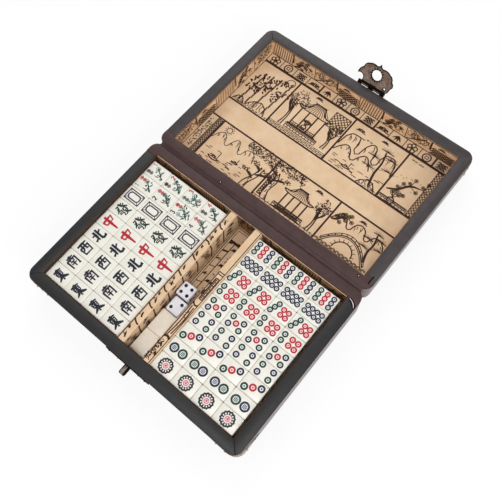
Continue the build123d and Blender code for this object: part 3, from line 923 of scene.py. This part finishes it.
def lower_pictures(wide, high):
    """From left to right: a column of grille, a lake, a walled garden, a bridge."""
    strokes = [upright(8, 0, high, medium), upright(14, 0, high, rule)]
    strokes += grille(9.2, 1.5, 12.8, high - 1.5, 2.4) + key_fret(0.6, 2, 6.8, 3.4)
    strokes += dabs(4, 25, 6, 36, 80)
    strokes += [upright(x, 0, high, rule) for x in (78, 142)]
    strokes += ridge(15, 60, 28, 12, 3, fine) + ripples(15, 62, 3, 24, 34) + boat(30, 11, 1.5)
    strokes += boat(48, 19, 0.9) + old_trunk(66, 1, 30, 5) + canopy(46, 78, high, 13)
    strokes += sun(24, 42, 2.6) + grass(52, 77, 1.2, 14)
    strokes += rock(20, 0.6, 14, 7) + rock(72, 0.6, 10, 5) + masonry(79, 1, 141, 8, 1.75, 5.2)
    strokes += pavilion(112, 10, 24, 28) + old_trunk(88, 8, 28, -4) + canopy(79, 104, high, 12)
    strokes += leafy_tree(134, 8, 32, 14, 160) + cloud(121, 43, 1.3) + fence(97, 127, 8.6, 4.2)
    strokes += grille(80.5, 10, 84, 34, 2.4) + grass(80, 141, 8.2, 18) + bridge(168, 10, 42, 15)
    strokes += waves(143, wide - 1, 0.5, 9, 4.2) + ridge(143, wide - 1, 30, 11, 3) + pine(187, 14, 27, -4)
    return strokes + plum_branch(144, 30, 13) + cloud(166, 43, 1.2)


def frieze(wide, high, seed):
    """A low wall's drawing: bays of foliage, waves and slanting bars between heavy uprights."""
    rng.seed(seed)
    count = round(wide / 24.0)              # bays of about 24 millimetres
    step = wide / count
    strokes = [across(0, wide, 0.5, medium), across(0, wide, high - 0.6)]
    for k in range(count):
        x, kind = k * step, (k + seed) % 4
        if k:
            strokes.append(upright(x, high * 0.3 if k % 2 else 0, high, rule if k % 2 else fine))
        if kind == 0:
            strokes += dabs(x + step / 2, high * 0.6, step * 0.95, high * 0.75, int(step * high * 0.4))
            stem = [(x + 1, 1), (x + step * 0.4, high * 0.4), (x + step * 0.8, high * 0.85)]
            strokes.append(curve(stem, medium))
        elif kind == 1:
            strokes += waves(x + 0.5, x + step - 0.5, 1, high * 0.6, 3.6)
            strokes += cloud(x + step * 0.35, high * 0.78, 1.3)
        elif kind == 2:
            strokes += [line([(x + 1 + j * 2.4, 1), (x + 3.2 + j * 2.4, high - 1.5)])
                        for j in range(int(step / 2.4))]
        else:
            strokes += plum_branch(x + 1.5, 1.2, min(step, high) * 0.9)
            strokes += dabs(x + step * 0.7, high * 0.4, step * 0.4, high * 0.5, 24)
    return strokes


divider_bays = 8


@placed
def twig(size):
    """A few short bold strokes about a stem."""
    strokes = [dab([(-size * 0.6, -size * 0.3), (0, 0), (size * 0.7, size * 0.25)], 0.95)]
    for _ in range(4):
        spot = (rng.uniform(-0.6, 0.6) * size, rng.uniform(-0.5, 0.5) * size)
        strokes.append(dab([spot, at(*spot, size * 0.45, rng.uniform(0.4, 2.6))], 0.85))
    return strokes


def left_top_drawing(length, wide):
    """The left divider's top: bent joints across it, and a twig or two in each bay."""
    rng.seed(3)
    strokes = [across(0, length, wide - 0.2, 0.5)]
    step = length / divider_bays
    for k in range(divider_bays):
        x = k * step
        if k:
            bend, shift_by = rng.uniform(-0.6, 2.2), rng.uniform(1.0, 3.6)
            strokes.append(curve([(x, 0), (x + bend, wide * 0.45), (x + shift_by, wide)], 0.75))
        strokes += twig(x + step * rng.uniform(0.3, 0.5), wide * rng.uniform(0.35, 0.6), wide * 0.6)
        if k % 3 != 1:
            strokes += twig(x + step * 0.72, wide * rng.uniform(0.6, 0.8), wide * 0.4)
    return strokes


def right_top_drawing(length, wide):
    """The right divider's top: leaves, a road and a fence, and the far third bare."""
    rng.seed(5)
    strokes = [across(0, length, 0.2, 0.4), across(0, length * 0.66, wide - 0.2, 0.5)]
    strokes += canopy(1, 19, wide, wide - 1) + twig(9, 1.4, 3.0) + twig(17, 2.4, 3.0)
    strokes += [curve([(23, 0), (24.5, wide * 0.5), (23.4, wide)], 1.1),
                curve([(25, wide * 0.75), (38, wide * 0.55), (54, wide * 0.7)], 0.55),
                curve([(27, wide * 0.35), (40, wide * 0.2), (53, wide * 0.3)], 0.55),
                curve([(56, 0), (55, wide * 0.5), (57.5, wide)], 0.75)]
    strokes += dabs(40, wide * 0.45, 18, 2.2, 9) + fence(61, 82, 1.0, 2.7) + cloud(66, wide * 0.85, 0.9)
    return strokes + twig(76, wide * 0.85, 2.6) + [upright(x, 0, wide, 0.5) for x in (85.5, 87.5)]


def divider_side_drawing(length, high, seed):
    """A divider's side: tall bays between bent uprights, each with bold clumps at three heights."""
    rng.seed(seed)
    strokes = [across(0, length, 0.6, medium)]
    step = length / divider_bays
    for k in range(divider_bays):
        x = k * step
        if k:
            strokes.append(curve([(x, high), (x - rng.uniform(-0.5, 1.5), high * 0.6), (x - 2.5, 0)], 0.8))
        for part in (0.3, 0.52, 0.78):
            cx = x + step * rng.uniform(0.3, 0.65)
            for _ in range(3):
                strokes += twig(cx + rng.uniform(-2.4, 2.4), high * part + rng.uniform(-2, 2), 3.2)
    return strokes


def channel_floor_drawing(wide, length):
    """The channel's floor: a path between ruled borders, with scrolls and clumps beside it."""
    rng.seed(11)
    path, far = wide * 0.42, length - 14
    strokes = box_lines(1.2, 1.2, wide - 1.2, length - 1.2, medium)
    strokes += box_lines(3.0, 3.2, wide - 3.0, length - 3.2) + [upright(path, 3.2, far)]
    for k in range(7):
        y = 8 + k * (length - 16) / 7
        strokes.append(line([(3.0, y), (path, y + 1.6)], fine if k % 3 else rule))
        strokes += cloud(wide * 0.58, y + 5, 1.5) + twig(wide * 0.25, y + 9, 3.2)
        strokes += dabs(wide * 0.72, y + 12, 5, 8, 12)
    return strokes + [across(3.0, wide - 3.0, far, heavy_rule)]


left_rows = [(wind + "_wind", [{"navy": brushed(wind_strokes[wind])}] * columns)
             for wind in ("east", "south", "west", "north")]
left_rows += [
    ("red_dragon", [{"red": brushed(wind_strokes["red"], 11.4, 10.2, heavy=1.85)}] * columns),
    ("green_dragon", [{"green": brushed(wind_strokes["green"], 11.7, 10.4, heavy=1.85)}] * columns),
    ("white_dragon", [frame_mark()] * columns),
    ("flowers", [garden_mark(k, "black", "red", -4.4, 3.0) for k in range(columns)]),
    ("seasons", [garden_mark(4 + k, "red", "black", 4.4, -3.2) for k in range(columns)]),
]
four_dots = [(-3.35, 5.1, "navy"), (3.35, 5.1, "green"), (-3.35, -5.1, "green"), (3.35, -5.1, "navy")]
dot_marks = (
    wheel(),
    together(*[grille_dot(0, y, 3.75, *shades[shade]) for y, shade in ((4.15, "navy"), (-4.15, "green"))]),
    dots(2.85, (-3.1, 5.6, "green"), (0, 0, "red"), (3.1, -5.6, "navy")),
    dots(2.55, *four_dots),
    dots(2.5, *four_dots[:2], (0, 0, "red"), *four_dots[2:]),
    dots(2.45, *[(x, y, shade) for y, shade in ((6.2, "green"), (-0.8, "red"), (-6.0, "red"))
                 for x in (-2.7, 2.7)]),
    dots(2.3, (-3.9, 7.0, "green"), (0, 5.4, "green"), (3.9, 3.8, "green"),
         *[(x, y, "red") for y in (-1.6, -6.2) for x in (-2.4, 2.4)]),
    dots(2.2, *[(x, y, "navy") for x in (-2.35, 2.35) for y in (6.6, 2.2, -2.2, -6.6)]),
    dots(2.25, *[(x, y, shade) for y, shade in ((6.1, "green"), (0, "red"), (-6.1, "navy"))
                 for x in (-4.0, 0, 4.0)]),
)
upside_down = {paint: moved(strokes, 0, 0, 1, pi) for paint, strokes in dot_marks[1].items()}
right_rows = [("dots_%d" % number, [drawing, upside_down if number == 2 else drawing] * (columns // 2))
              for number, drawing in enumerate(dot_marks, 1)]       # every other two-dot lies upside down
for kind, drawings in left_rows + right_rows:
    node = "tiles_" + kind
    tiles(node, kind + "_tiles", node, row_places(node))
    marks(kind + "_marks", row_places(node), drawings, node)

# ---- lower layer of tiles: characters on the left, bamboos on the right ----
numeral_strokes = (
    (((8, 50), (50, 54), (92, 52), 18),),
    (((22, 78), (80, 80), 16), ((8, 22), (92, 24), 18)),
    (((18, 88), (82, 90), 14), ((26, 52), (76, 54), 14), ((8, 12), (92, 14), 16)),
    (((14, 84), (18, 12), 13), ((14, 84), (88, 84), (82, 12), 13), ((18, 16), (82, 16), 13),
     ((40, 82), (38, 56), (28, 42), 12), ((60, 82), (62, 50), (74, 46), 12)),
    (((16, 88), (84, 90), 13), ((48, 88), (36, 12), 14), ((24, 52), (74, 54), (68, 12), 13),
     ((8, 10), (92, 12), 14)),
    (((48, 98), (54, 82), 14), ((10, 66), (90, 68), 14), ((38, 50), (28, 26), (10, 6), 14),
     ((62, 50), (76, 28), (92, 6), 14)),
    (((10, 52), (50, 60), (90, 66), 15), ((44, 96), (42, 40), (50, 14), (86, 12), (88, 26), 15)),
    (((38, 80), (30, 44), (10, 10), 15), ((56, 88), (66, 50), (92, 8), 17)),
    (((44, 96), (40, 50), (12, 8), 15), ((18, 66), (68, 68), (64, 22), (92, 12), (92, 28), 14)),
)
myriad_strokes = (
    ((10, 88), (90, 90), 8), ((32, 100), (32, 80), 7), ((68, 100), (68, 80), 7),
    ((24, 72), (26, 46), 7), ((24, 72), (76, 73), (74, 46), 7), ((25, 60), (75, 60), 6),
    ((50, 72), (50, 46), 6),
    ((25, 47), (75, 47), 7), ((14, 36), (16, 0), 8), ((14, 36), (88, 37), (86, 4), (76, 6), 8),
    ((50, 47), (50, 14), 7), ((34, 14), (66, 16), 6), ((62, 24), (70, 12), 7),
)
stick_rows = ((1,), (1, 1), (1, 2), (2, 2), (2, 1, 2), (3, 3), (1, 3, 3), (4, 4), (3, 3, 3))
red_sticks = ((5, 1, 0), (7, 0, 0), (9, 0, 1), (9, 1, 1), (9, 2, 1))        # number, row, place in it


def character_mark(number):
    """A numeral over the suit's sign."""
    return {"navy": brushed(numeral_strokes[number - 1], 5.6, 7.0, 0, 5.0, 1.2),
            "red": brushed(myriad_strokes, 8.4, 8.4, 0, -3.6, 1.2)}


def bamboo_mark(number):
    """Jointed sticks, as many as the tile's number."""
    counts = stick_rows[number - 1]
    step = 16.0 / len(counts)
    reach = min(2.6, step * 0.4)
    sticks = []
    for row, count in enumerate(counts):
        y = 8.0 - step * (row + 0.5)
        for k in range(count):
            x = (k - (count - 1) / 2) * (10.5 / max(count, 3))
            sticks.append({"red" if (number, row, k) in red_sticks else "green": [
                upright(x, y - reach, y + reach, 1.1), circle(x, y, 0.7, 0.5, 8),
                across(x - 0.85, x + 0.85, y - reach, 0.6), across(x - 0.85, x + 0.85, y + reach, 0.6)]})
    return together({"green": []}, *sticks)


pitch_y, rows = 14.25 * mm, 9
for node, first_row, mark in (("lower_tiles_characters", "tiles_east_wind", character_mark),
                              ("lower_tiles_bamboos", "tiles_dots_1", bamboo_mark)):
    places = [p + down + Vector((0, row * pitch_y, 0)) for row in range(rows) for p in row_places(first_row)]
    tiles(node, node.replace("lower_", "lower_layer_"), "base", places)
    marks(node + "_marks", places, [mark(1 + i // columns) for i in range(len(places))], "base")

for node in ("spare_tile_front", "spare_tile_rear"):
    low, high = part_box(node)
    place = shift(((low.x + high.x) / 2, (low.y + high.y) / 2, low.z)) @ Matrix.Rotation(pi / 2, 4, "Z")
    spare = joined(node.replace("spare", "blank"), [twin(tile_block, place)])
    dressed(spare, blank, node, "tile_resin", node)

bpy.data.objects.remove(tile_block)

# ---- dice ----
die_round = 1.4 * mm
pip_r, pip_depth, pip_step = 1.5 * mm, 1.15 * mm, 3.05 * mm
diagonal, other_two = [(-1, -1), (1, 1)], [(-1, 1), (1, -1)]
pip_spots = [[(0, 0)], diagonal, diagonal + [(0, 0)], diagonal + other_two, diagonal + other_two + [(0, 0)],
             [(u, v) for u in (-1, 1) for v in (-1, 0, 1)]]


def die(node, name, *values):
    """A rounded cube with dimples for pips: its values on +Z, +X and +Y, opposite faces adding to seven."""
    low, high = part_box(node)
    size = high.x - low.x
    cube = block((size, size, size), die_round, 5)
    cube.data.materials.append(dice_white)
    balls = []
    for value, out in zip(values, ((0, 0, 1), (1, 0, 0), (0, 1, 0))):
        for pips, facing in ((value, Vector(out)), (7 - value, -Vector(out))):
            face = facing.to_track_quat("Z", "Y").to_matrix()
            for u, v in pip_spots[pips - 1]:
                spot = face @ Vector((u * pip_step, v * pip_step, size / 2 + pip_r - pip_depth))
                balls.append(settle(ball(pip_r, spot, 16, 10)))
    cutter = joined("pips", balls)
    cutter.data.materials.append(paints["black"])
    apply(cube, "BOOLEAN", operation="DIFFERENCE", object=cutter, solver="EXACT", material_mode="TRANSFER")
    bpy.data.objects.remove(cutter)
    settle(smooth(cube), shift((low + high) / 2)).name = name
    dressed(cube, None, node, "die_resin", node)


die("die_front", "white_die_front", 2, 3, 1)
die("die_rear", "white_die_rear", 4, 5, 1)

# ---- the linings' drawings, placed ----
X, Y, Z = Vector((1, 0, 0)), Vector((0, 1, 0)), Vector((0, 0, 1))
divider_low, divider_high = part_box("divider_sleeves")
divider_t, sleeve_r, rim_t = 6.9 * mm, 0.7 * mm, 1.0 * mm
channel_left, channel_right = divider_low.x + divider_t, divider_high.x - divider_t
wall_top = rim_z - rim_t
wide_mm, deep_mm = 2 * lined_x / mm, 2 * lined_y / mm


def facing_place(corner, along, up, lift=ink_lift):
    """A plane's place from its lower left corner, its run and its up direction, a little off its card."""
    facing = along.cross(up)
    place = Matrix((along, up, facing)).transposed().to_4x4()
    place.translation = Vector(corner) + facing * lift
    return place


def film(name, strokes, place, material, body, slot="printed_lining", resolution=4):
    """Strokes in one finish as a piece of their own."""
    return dressed(ribbons(name, strokes, place, material, resolution), None, body, slot)


def printed(name, strokes, corner, along, up, body):
    """A drawing on a lining's face."""
    place = facing_place(corner, along, up)
    pressed = [(points, [w * press_gain for w in widths], soft, closed)
               for points, widths, soft, closed in strokes]
    film(name + "_print", pressed, lean @ place if body == "lid" else place, ink, body, resolution=3)


for body, y0, floor, height, seed in (("base", -lined_y, floor_z, wall_top - floor_z, 20),
                                      ("lid", lid_middle_y - lined_y, lid_floor_z, lid_depth - rim_t, 30)):
    y1 = y0 + 2 * lined_y
    for k, (wall, corner, along, run) in enumerate((
            ("front_or_far", (-lined_x, y1, floor), X, wide_mm), ("near", (lined_x, y0, floor), -X, wide_mm),
            ("left", (-lined_x, y0, floor), Y, deep_mm), ("right", (lined_x, y1, floor), -Y, deep_mm))):
        printed(body + "_" + wall + "_wall", frieze(run, height / mm, seed + k), corner, along, Z, body)
printed("lid_floor", lid_floor_drawing(wide_mm, deep_mm), (-lined_x, lid_middle_y - lined_y, lid_floor_z),
        X, Y, "lid")
printed("channel_floor", channel_floor_drawing((channel_right - channel_left) / mm, deep_mm),
        (channel_left, -lined_y, floor_z), X, Y, "base")
top_wide = (divider_t - 2 * sleeve_r) / mm
printed("left_divider_top", left_top_drawing(deep_mm, top_wide),
        (channel_left - sleeve_r, -lined_y, divider_high.z), Y, -X, "base")
printed("right_divider_top", right_top_drawing(deep_mm, top_wide),
        (divider_high.x - sleeve_r, -lined_y, divider_high.z), Y, -X, "base")
side_high = (divider_high.z - sleeve_r - floor_z) / mm
printed("left_divider_side", divider_side_drawing(deep_mm, side_high, 52), (channel_left, -lined_y, floor_z),
        Y, Z, "base")
printed("right_divider_side", divider_side_drawing(deep_mm, side_high, 57), (channel_right, lined_y, floor_z),
        -Y, Z, "base")

# The base's rear wall shows a sheet of the print painted a middle brown for its shade, lighter than the dark
# wall card, and the channel's end leaves of its own
channel_wide, channel_high = (channel_right - channel_left) / mm, (wall_top - floor_z) / mm
film("base_rear_lining_sheet", [across(0, wide_mm, channel_high / 2, channel_high)],
     facing_place((-lined_x, lined_y, floor_z), X, Z, 0.5 * ink_lift), rear_card_painted_shade, "base")
rng.seed(5)
printed("channel_end", [across(0, channel_wide, 0.6, medium)] + canopy(1, channel_wide - 1, channel_high, 12),
        (channel_left, lined_y - ink_lift, floor_z), X, Z, "base")
rear_edge = across(-lined_x / mm, lined_x / mm, lined_y / mm + 0.4, 0.5)
edge_place = shift((0, 0, wall_top + ink_lift))
film("base_rear_lining_edge", [rear_edge], edge_place, wall_card, "base")

# The lid walls' lining ends in a dark printed edge under the rim
ledge_x, ledge_y, ledge_middle = lined_x / mm + 0.4, lined_y / mm + 0.4, lid_middle_y / mm
film("lid_lining_edge", box_lines(-ledge_x, ledge_middle - ledge_y, ledge_x, ledge_middle + ledge_y, 0.8),
     lean @ edge_place, ink, "lid")

# ---- hinge leather: one soft strip over both rear rims and down into the groove ----
strip_seam = 2.3 * mm
strip_t = 0.9 * mm
corner_r = 8.0 * mm
notch_x = 103.5 * mm                        # the trims' ends, where the strip's corner begins to round
groove_rows = ((3.0, 0.0), (2.2, 0.15), (1.5, 0.5), (0.8, 1.0), (0.0, 1.25))      # from the hinge, drop


def fold_outline():
    """The strip's outline from above, its ends rounded with the cases' corners."""
    stop = acos((notch_x - case_x + corner_r) / corner_r)
    right = [(wall_x, wall_y), (wall_x, wall_y - strip_seam), (case_x, wall_y - strip_seam)]
    right += [at(case_x - corner_r, case_y - corner_r, corner_r, stop * i / 7) for i in range(8)]
    right += [(x, 2 * hinge_at.y - y) for x, y in reversed(right)]
    return right + [(-x, y) for x, y in reversed(right)]


def hinge_fold():
    """The strip, cut into rows, let down into the groove and leant with the lid beyond the hinge."""
    outline = bpy.data.curves.new("hinge_fold", "CURVE")
    outline.dimensions, outline.fill_mode = "2D", "BOTH"
    points = fold_outline()
    edge = outline.splines.new("POLY")
    edge.points.add(len(points) - 1)
    for knot, (x, y) in zip(edge.points, points):
        knot.co = (x, y, 0, 1)
    edge.use_cyclic_u = True
    obj = as_mesh(linked("hinge_leather_strip", outline))
    edited(obj, (bpy.ops.mesh.dissolve_limited, {"angle_limit": 0.01}),
           *[cut("y", hinge_at.y + off * mm) for row, _ in groove_rows for off in {-row, row}])
    for vertex in obj.data.vertices:
        off = abs(vertex.co.y - hinge_at.y) / mm
        vertex.co.z = rim_z - next((drop for row, drop in groove_rows if abs(row - off) < 0.02), 0.0) * mm
    apply(obj, "SOLIDIFY", thickness=strip_t, offset=-1.0, use_even_offset=False)
    rounded(obj, 0.3 * mm, 60)
    for vertex in obj.data.vertices:
        if vertex.co.y > hinge_at.y:
            vertex.co = lean @ vertex.co
    smooth(obj, 50)
    obj.data.materials.append(fold_leather)
    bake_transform(obj)
    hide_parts("base_hinge_leather", "lid_hinge_leather")


hinge_fold()


def domed_nail(name, x, y):
    """A small round-headed nail through the fold, on the lid's side: a dark rim and a crown painted bright as
    a highlight.
    """
    for part, radius, rise, material in (("rim", 1.3, 0.35, patina), ("crown", 0.7, 0.85, nail_crown)):
        head = ball(radius * mm, (x * mm, y * mm, rim_z - 0.1 * mm), 16, 8)
        head.scale.z = rise
        settle(head, lean).name = name + "_" + part
        dressed(smooth(head, 60), material, "lid", "bronze_fittings")


domed_nail("fold_nail_left", -39.6, 79.9)
domed_nail("fold_nail_right", 95.0, 85.0)

# The trims' ends beside the fold: the base's right one lifts and shows its pale core, the lid's is slit; the
# shadow in their gaps is painted black
seam_top = shift((0, 0, rim_z + 0.14 * mm))
gape_top = shift((0, 0, rim_z + 0.11 * mm))
core_points = [(100.4, 66.4), (103.0, 65.5), (105.4, 63.9), (107.0, 61.9)]
core_widths = [0.5, 0.75, 0.75, 0.4]
for name, strokes, place, material, body in (
        ("base_trim_core", [(core_points, core_widths, True, False)], seam_top, paper_core, "base"),
        ("base_trim_lifted_end_shadow", [(core_points, [w + 1.8 for w in core_widths], True, False)], gape_top, gap_shadow_black,
         "base"),
        ("lid_trim_tab", [upright(106.3, 84.4, 90.2, 3.3)], lean @ seam_top, lid_trim, "lid"),
        ("lid_trim_slit_shadow", [line([(104.4, 84.0), (104.5, 91.6)], 1.0)], lean @ seam_top, gap_shadow_black, "lid")):
    film(name, strokes, place, material, body, "rim_trim")

# ---- metal fittings ----
hasp_lean = radians(26)
hasp_place = shift(joints["hasp_swing"]["pos_m"]) @ Matrix.Rotation(-hasp_lean - lean_angle, 4, "X")
hasp_hole_v, hasp_hole_r, hasp_t = 12.2 * mm, 4.7 * mm, 1.0 * mm


def fitting(obj, body, node, shaded):
    """Dresses a brass piece and leaves the faces dark that a test picks out."""
    dressed(obj, bronze, body, "bronze_fittings", node)
    obj.data.materials.append(patina)
    for face in obj.data.polygons:
        if shaded(face):
            face.material_index = 1


def sunk(node, name, frame_of, out, depth, body, border=0.8 * mm, broad=20 * mm * mm):
    """A plate's copy with its broad flat faces sunk inside a raised border."""
    obj = merged_copy(node, name)
    obj.data.transform(frame_of.inverted())
    deselected = (bpy.ops.mesh.select_all, {"action": "DESELECT"})
    edited(obj, (bpy.ops.mesh.select_mode, {"type": "FACE"}), deselected, whole=False)
    for sign in out:
        faces = obj.data.polygons
        reach = max(sign * f.center.y for f in faces if abs(f.normal.y) > 0.99 and f.area > broad)
        for face in faces:
            face.select = abs(face.normal.y) > 0.99 and abs(sign * face.center.y - reach) < 0.02 * mm
        inset = {"thickness": border, "depth": -depth, "use_boundary": True}
        edited(obj, (bpy.ops.mesh.inset, inset), deselected, whole=False)
    smooth(rounded(obj, 0.12 * mm, 40), 40)
    fitting(obj, body, node, lambda face: abs(face.normal.y) < 0.985)
    obj.data.transform(frame_of)


def beads():
    """Beads cast round the hasp's hole, on both faces, over a ring left dark."""
    ring, middle = hasp_hole_r + 1.1 * mm, (0, hasp_hole_v)
    balls = []
    for face in (-1, 1):
        for x, z in (at(*middle, ring, turn) for turn in turns(15)):
            balls.append(settle(ball(0.68 * mm, (x, face * hasp_t / 2, z), 8, 6)))
    obj = joined("hasp_beads", balls)
    obj.data.transform(hasp_place)
    dressed(smooth(obj, 60), bronze, "hasp", "bronze_fittings")
    bpy.ops.mesh.primitive_torus_add(major_segments=48, minor_segments=8, major_radius=ring,
                                     minor_radius=0.75 * mm, rotation=(pi / 2, 0, 0),
                                     location=(0, 0, hasp_hole_v))
    hollow = settle(bpy.context.object, hasp_place @ Matrix.Diagonal((1, 0.8, 1, 1)))
    hollow.name = "hasp_dark_ring"
    dressed(smooth(hollow, 60), patina, "hasp", "bronze_fittings")


def staple_strip(node, name, border):
    """The staple's band, rounded, dark along both edges and rubbed along its middle."""
    obj = merged_copy(node, name)
    across_x = [v.co.x for v in obj.data.vertices]
    low, high = min(across_x) + border, max(across_x) - border
    edited(obj, cut("x", low), cut("x", high))
    smooth(rounded(obj, 0.25 * mm, 30), 50)
    fitting(obj, "base", node, lambda face: not low < face.center.x < high)


def eased(node, name, edge, material=bronze, slot="bronze_fittings", sharp=40):
    """A CAD node's copy with its sharp edges rounded, in the node's place."""
    obj = smooth(rounded(merged_copy(node, name), edge, sharp), 50)
    dressed(obj, material, "base" if node.startswith("base") else "lid", slot, node)


sunk("latch_hasp", "bronze_hasp", hasp_place, (-1, 1), 0.2 * mm, "hasp")
beads()
sunk("latch_leaf", "bronze_latch_leaf", lean, (1,), 0.25 * mm, "lid")
sunk("catch_plate", "bronze_catch_plate", still, (-1,), 0.25 * mm, "base")
staple_strip("catch_staple", "bronze_staple", 0.95 * mm)
eased("latch_pin", "bronze_hinge_pin", 0.2 * mm)
for tray in ("base", "lid"):
    eased(tray + "_corner_guards", tray + "_bronze_corner_guards", 0.15 * mm)
    eased(tray + "_nails", tray + "_bronze_nails", 0.2 * mm, sharp=20)

# ---- trims and leatherette ----

def repaint(material, *nodes):
    """Gives CAD nodes that are shown as they are their finish."""
    for node in nodes:
        frame["nodes"][node].data.materials.clear()
        frame["nodes"][node].data.materials.append(material)


# The base's wall lining gets the card painted dark with the gaps' shade, the lid's its own tan card
# The lid's rims get the charcoal trim with its painted sheen, the base's rims the plain one
for tray, flat, rim_finish_and_sheen, card_and_painted_shade in (("base", "_floor", trim, dark_card_painted_shade),
                                            ("lid", "_top", lid_trim, wall_card)):
    eased(tray + "_front_rim", tray + "_front_trim", 0.45 * mm, rim_finish_and_sheen, "rim_trim")
    eased(tray + "_side_rims", tray + "_side_trims", 0.45 * mm, rim_finish_and_sheen, "rim_trim")
    boards = (flat + "_board", "_front_wall", "_rear_wall", "_left_wall", "_right_wall")
    repaint(leatherette, tray + "_wall_skin", tray + flat + "_skin")
    repaint(lining, tray + flat + "_lining")
    repaint(card_and_painted_shade, tray + "_wall_lining")
    repaint(board, *[tray + name for name in boards])
repaint(board, "divider_cores")
repaint(lining, "divider_sleeves")

# ---- stage, light and camera ----
case_middle = Vector((0, 0.08, 0))
bpy.ops.mesh.primitive_plane_add(size=6, location=case_middle + Z * (cad_box[0].z - 0.02 * mm))
floor = bpy.context.object
floor.name = "floor"
# White paper that glows a little to the camera, so that it stays white
paper = bpy.data.materials.new("white_paper_floor")
paper.use_nodes = True
paper_shader = paper.node_tree.nodes["Principled BSDF"]
paper_shader.inputs["Base Color"].default_value = (0.94, 0.94, 0.94, 1)
paper_shader.inputs["Roughness"].default_value = 0.9
share = add(paper, "Math", {"operation": "MULTIPLY", 1: 0.8}, {0: (add(paper, "LightPath"), "Is Camera Ray")})
mixed = add(paper, "MixShader", {}, {0: (share, "Value"), 1: (paper_shader, "BSDF"),
                                     2: (add(paper, "Emission", {"Strength": 1.0}), "Emission")})
paper.node_tree.links.new(mixed.outputs["Shader"], paper.node_tree.nodes["Material Output"].inputs["Surface"])
floor.data.materials.append(paper)

# A white tent lit from its sides, darker overhead
world = bpy.data.worlds.new("studio")
bpy.context.scene.world = world
world.use_nodes = True
air = world.node_tree.nodes["Background"]
air.inputs["Color"].default_value = (1, 1, 1, 1)
upness = add(world, "SeparateXYZ", {}, {0: (add(world, "TexCoord"), "Generated")})
dimmed = add(world, "MapRange", {"From Min": 0.2, "From Max": 0.95, "To Min": 0.74, "To Max": 0.4},
             {"Value": (upness, "Z")})
strength = add(world, "Math", {"operation": "MAXIMUM"},
               {0: (dimmed, "Result"), 1: (add(world, "LightPath"), "Is Camera Ray")})
world.node_tree.links.new(strength.outputs["Value"], air.inputs["Strength"])

# Large square lamps that face the case
for name, place, size, power in (("far_left_softbox", (-1.1, 1.5, 1.5), 1.6, 14),
                                 ("overhead_softbox", (0.35, -0.35, 1.7), 0.7, 9.5),
                                 ("right_softbox", (1.35, -0.45, 0.95), 1.0, 9.5)):
    data = bpy.data.lights.new(name, "AREA")
    data.size, data.energy = size, power
    lamp = linked(name, data)
    lamp.location = place
    lamp.rotation_euler = (case_middle - Vector(place)).to_track_quat("-Z", "Y").to_euler()

# The camera was fitted to the tiles' corners and the rims' edges in a picture 500 pixels wide
view_azimuth, view_elevation, view_roll = (radians(a) for a in (47.383, 69.187, -8.264))
camera_place = Vector((140.19, -63.89, 467.96)) * mm
focal_pixels, picture_pixels, sensor_mm = 603.8, 500, 36
back = Vector((sin(view_azimuth) * cos(view_elevation), -cos(view_azimuth) * cos(view_elevation),
               sin(view_elevation)))
level = Z.cross(back).normalized()
upward = back.cross(level)
right_way = cos(view_roll) * level + sin(view_roll) * upward
up_way = -sin(view_roll) * level + cos(view_roll) * upward
camera_data = bpy.data.cameras.new("camera")
camera_data.sensor_width = sensor_mm
camera_data.lens = focal_pixels * sensor_mm / picture_pixels
camera_data.clip_start = 0.01
camera = linked("camera", camera_data)
camera.matrix_world = shift(camera_place) @ Matrix((right_way, up_way, back)).transposed().to_4x4()
bpy.context.scene.camera = camera
bpy.context.scene.view_settings.view_transform = "Standard"

bpy.data.objects.remove(nib)
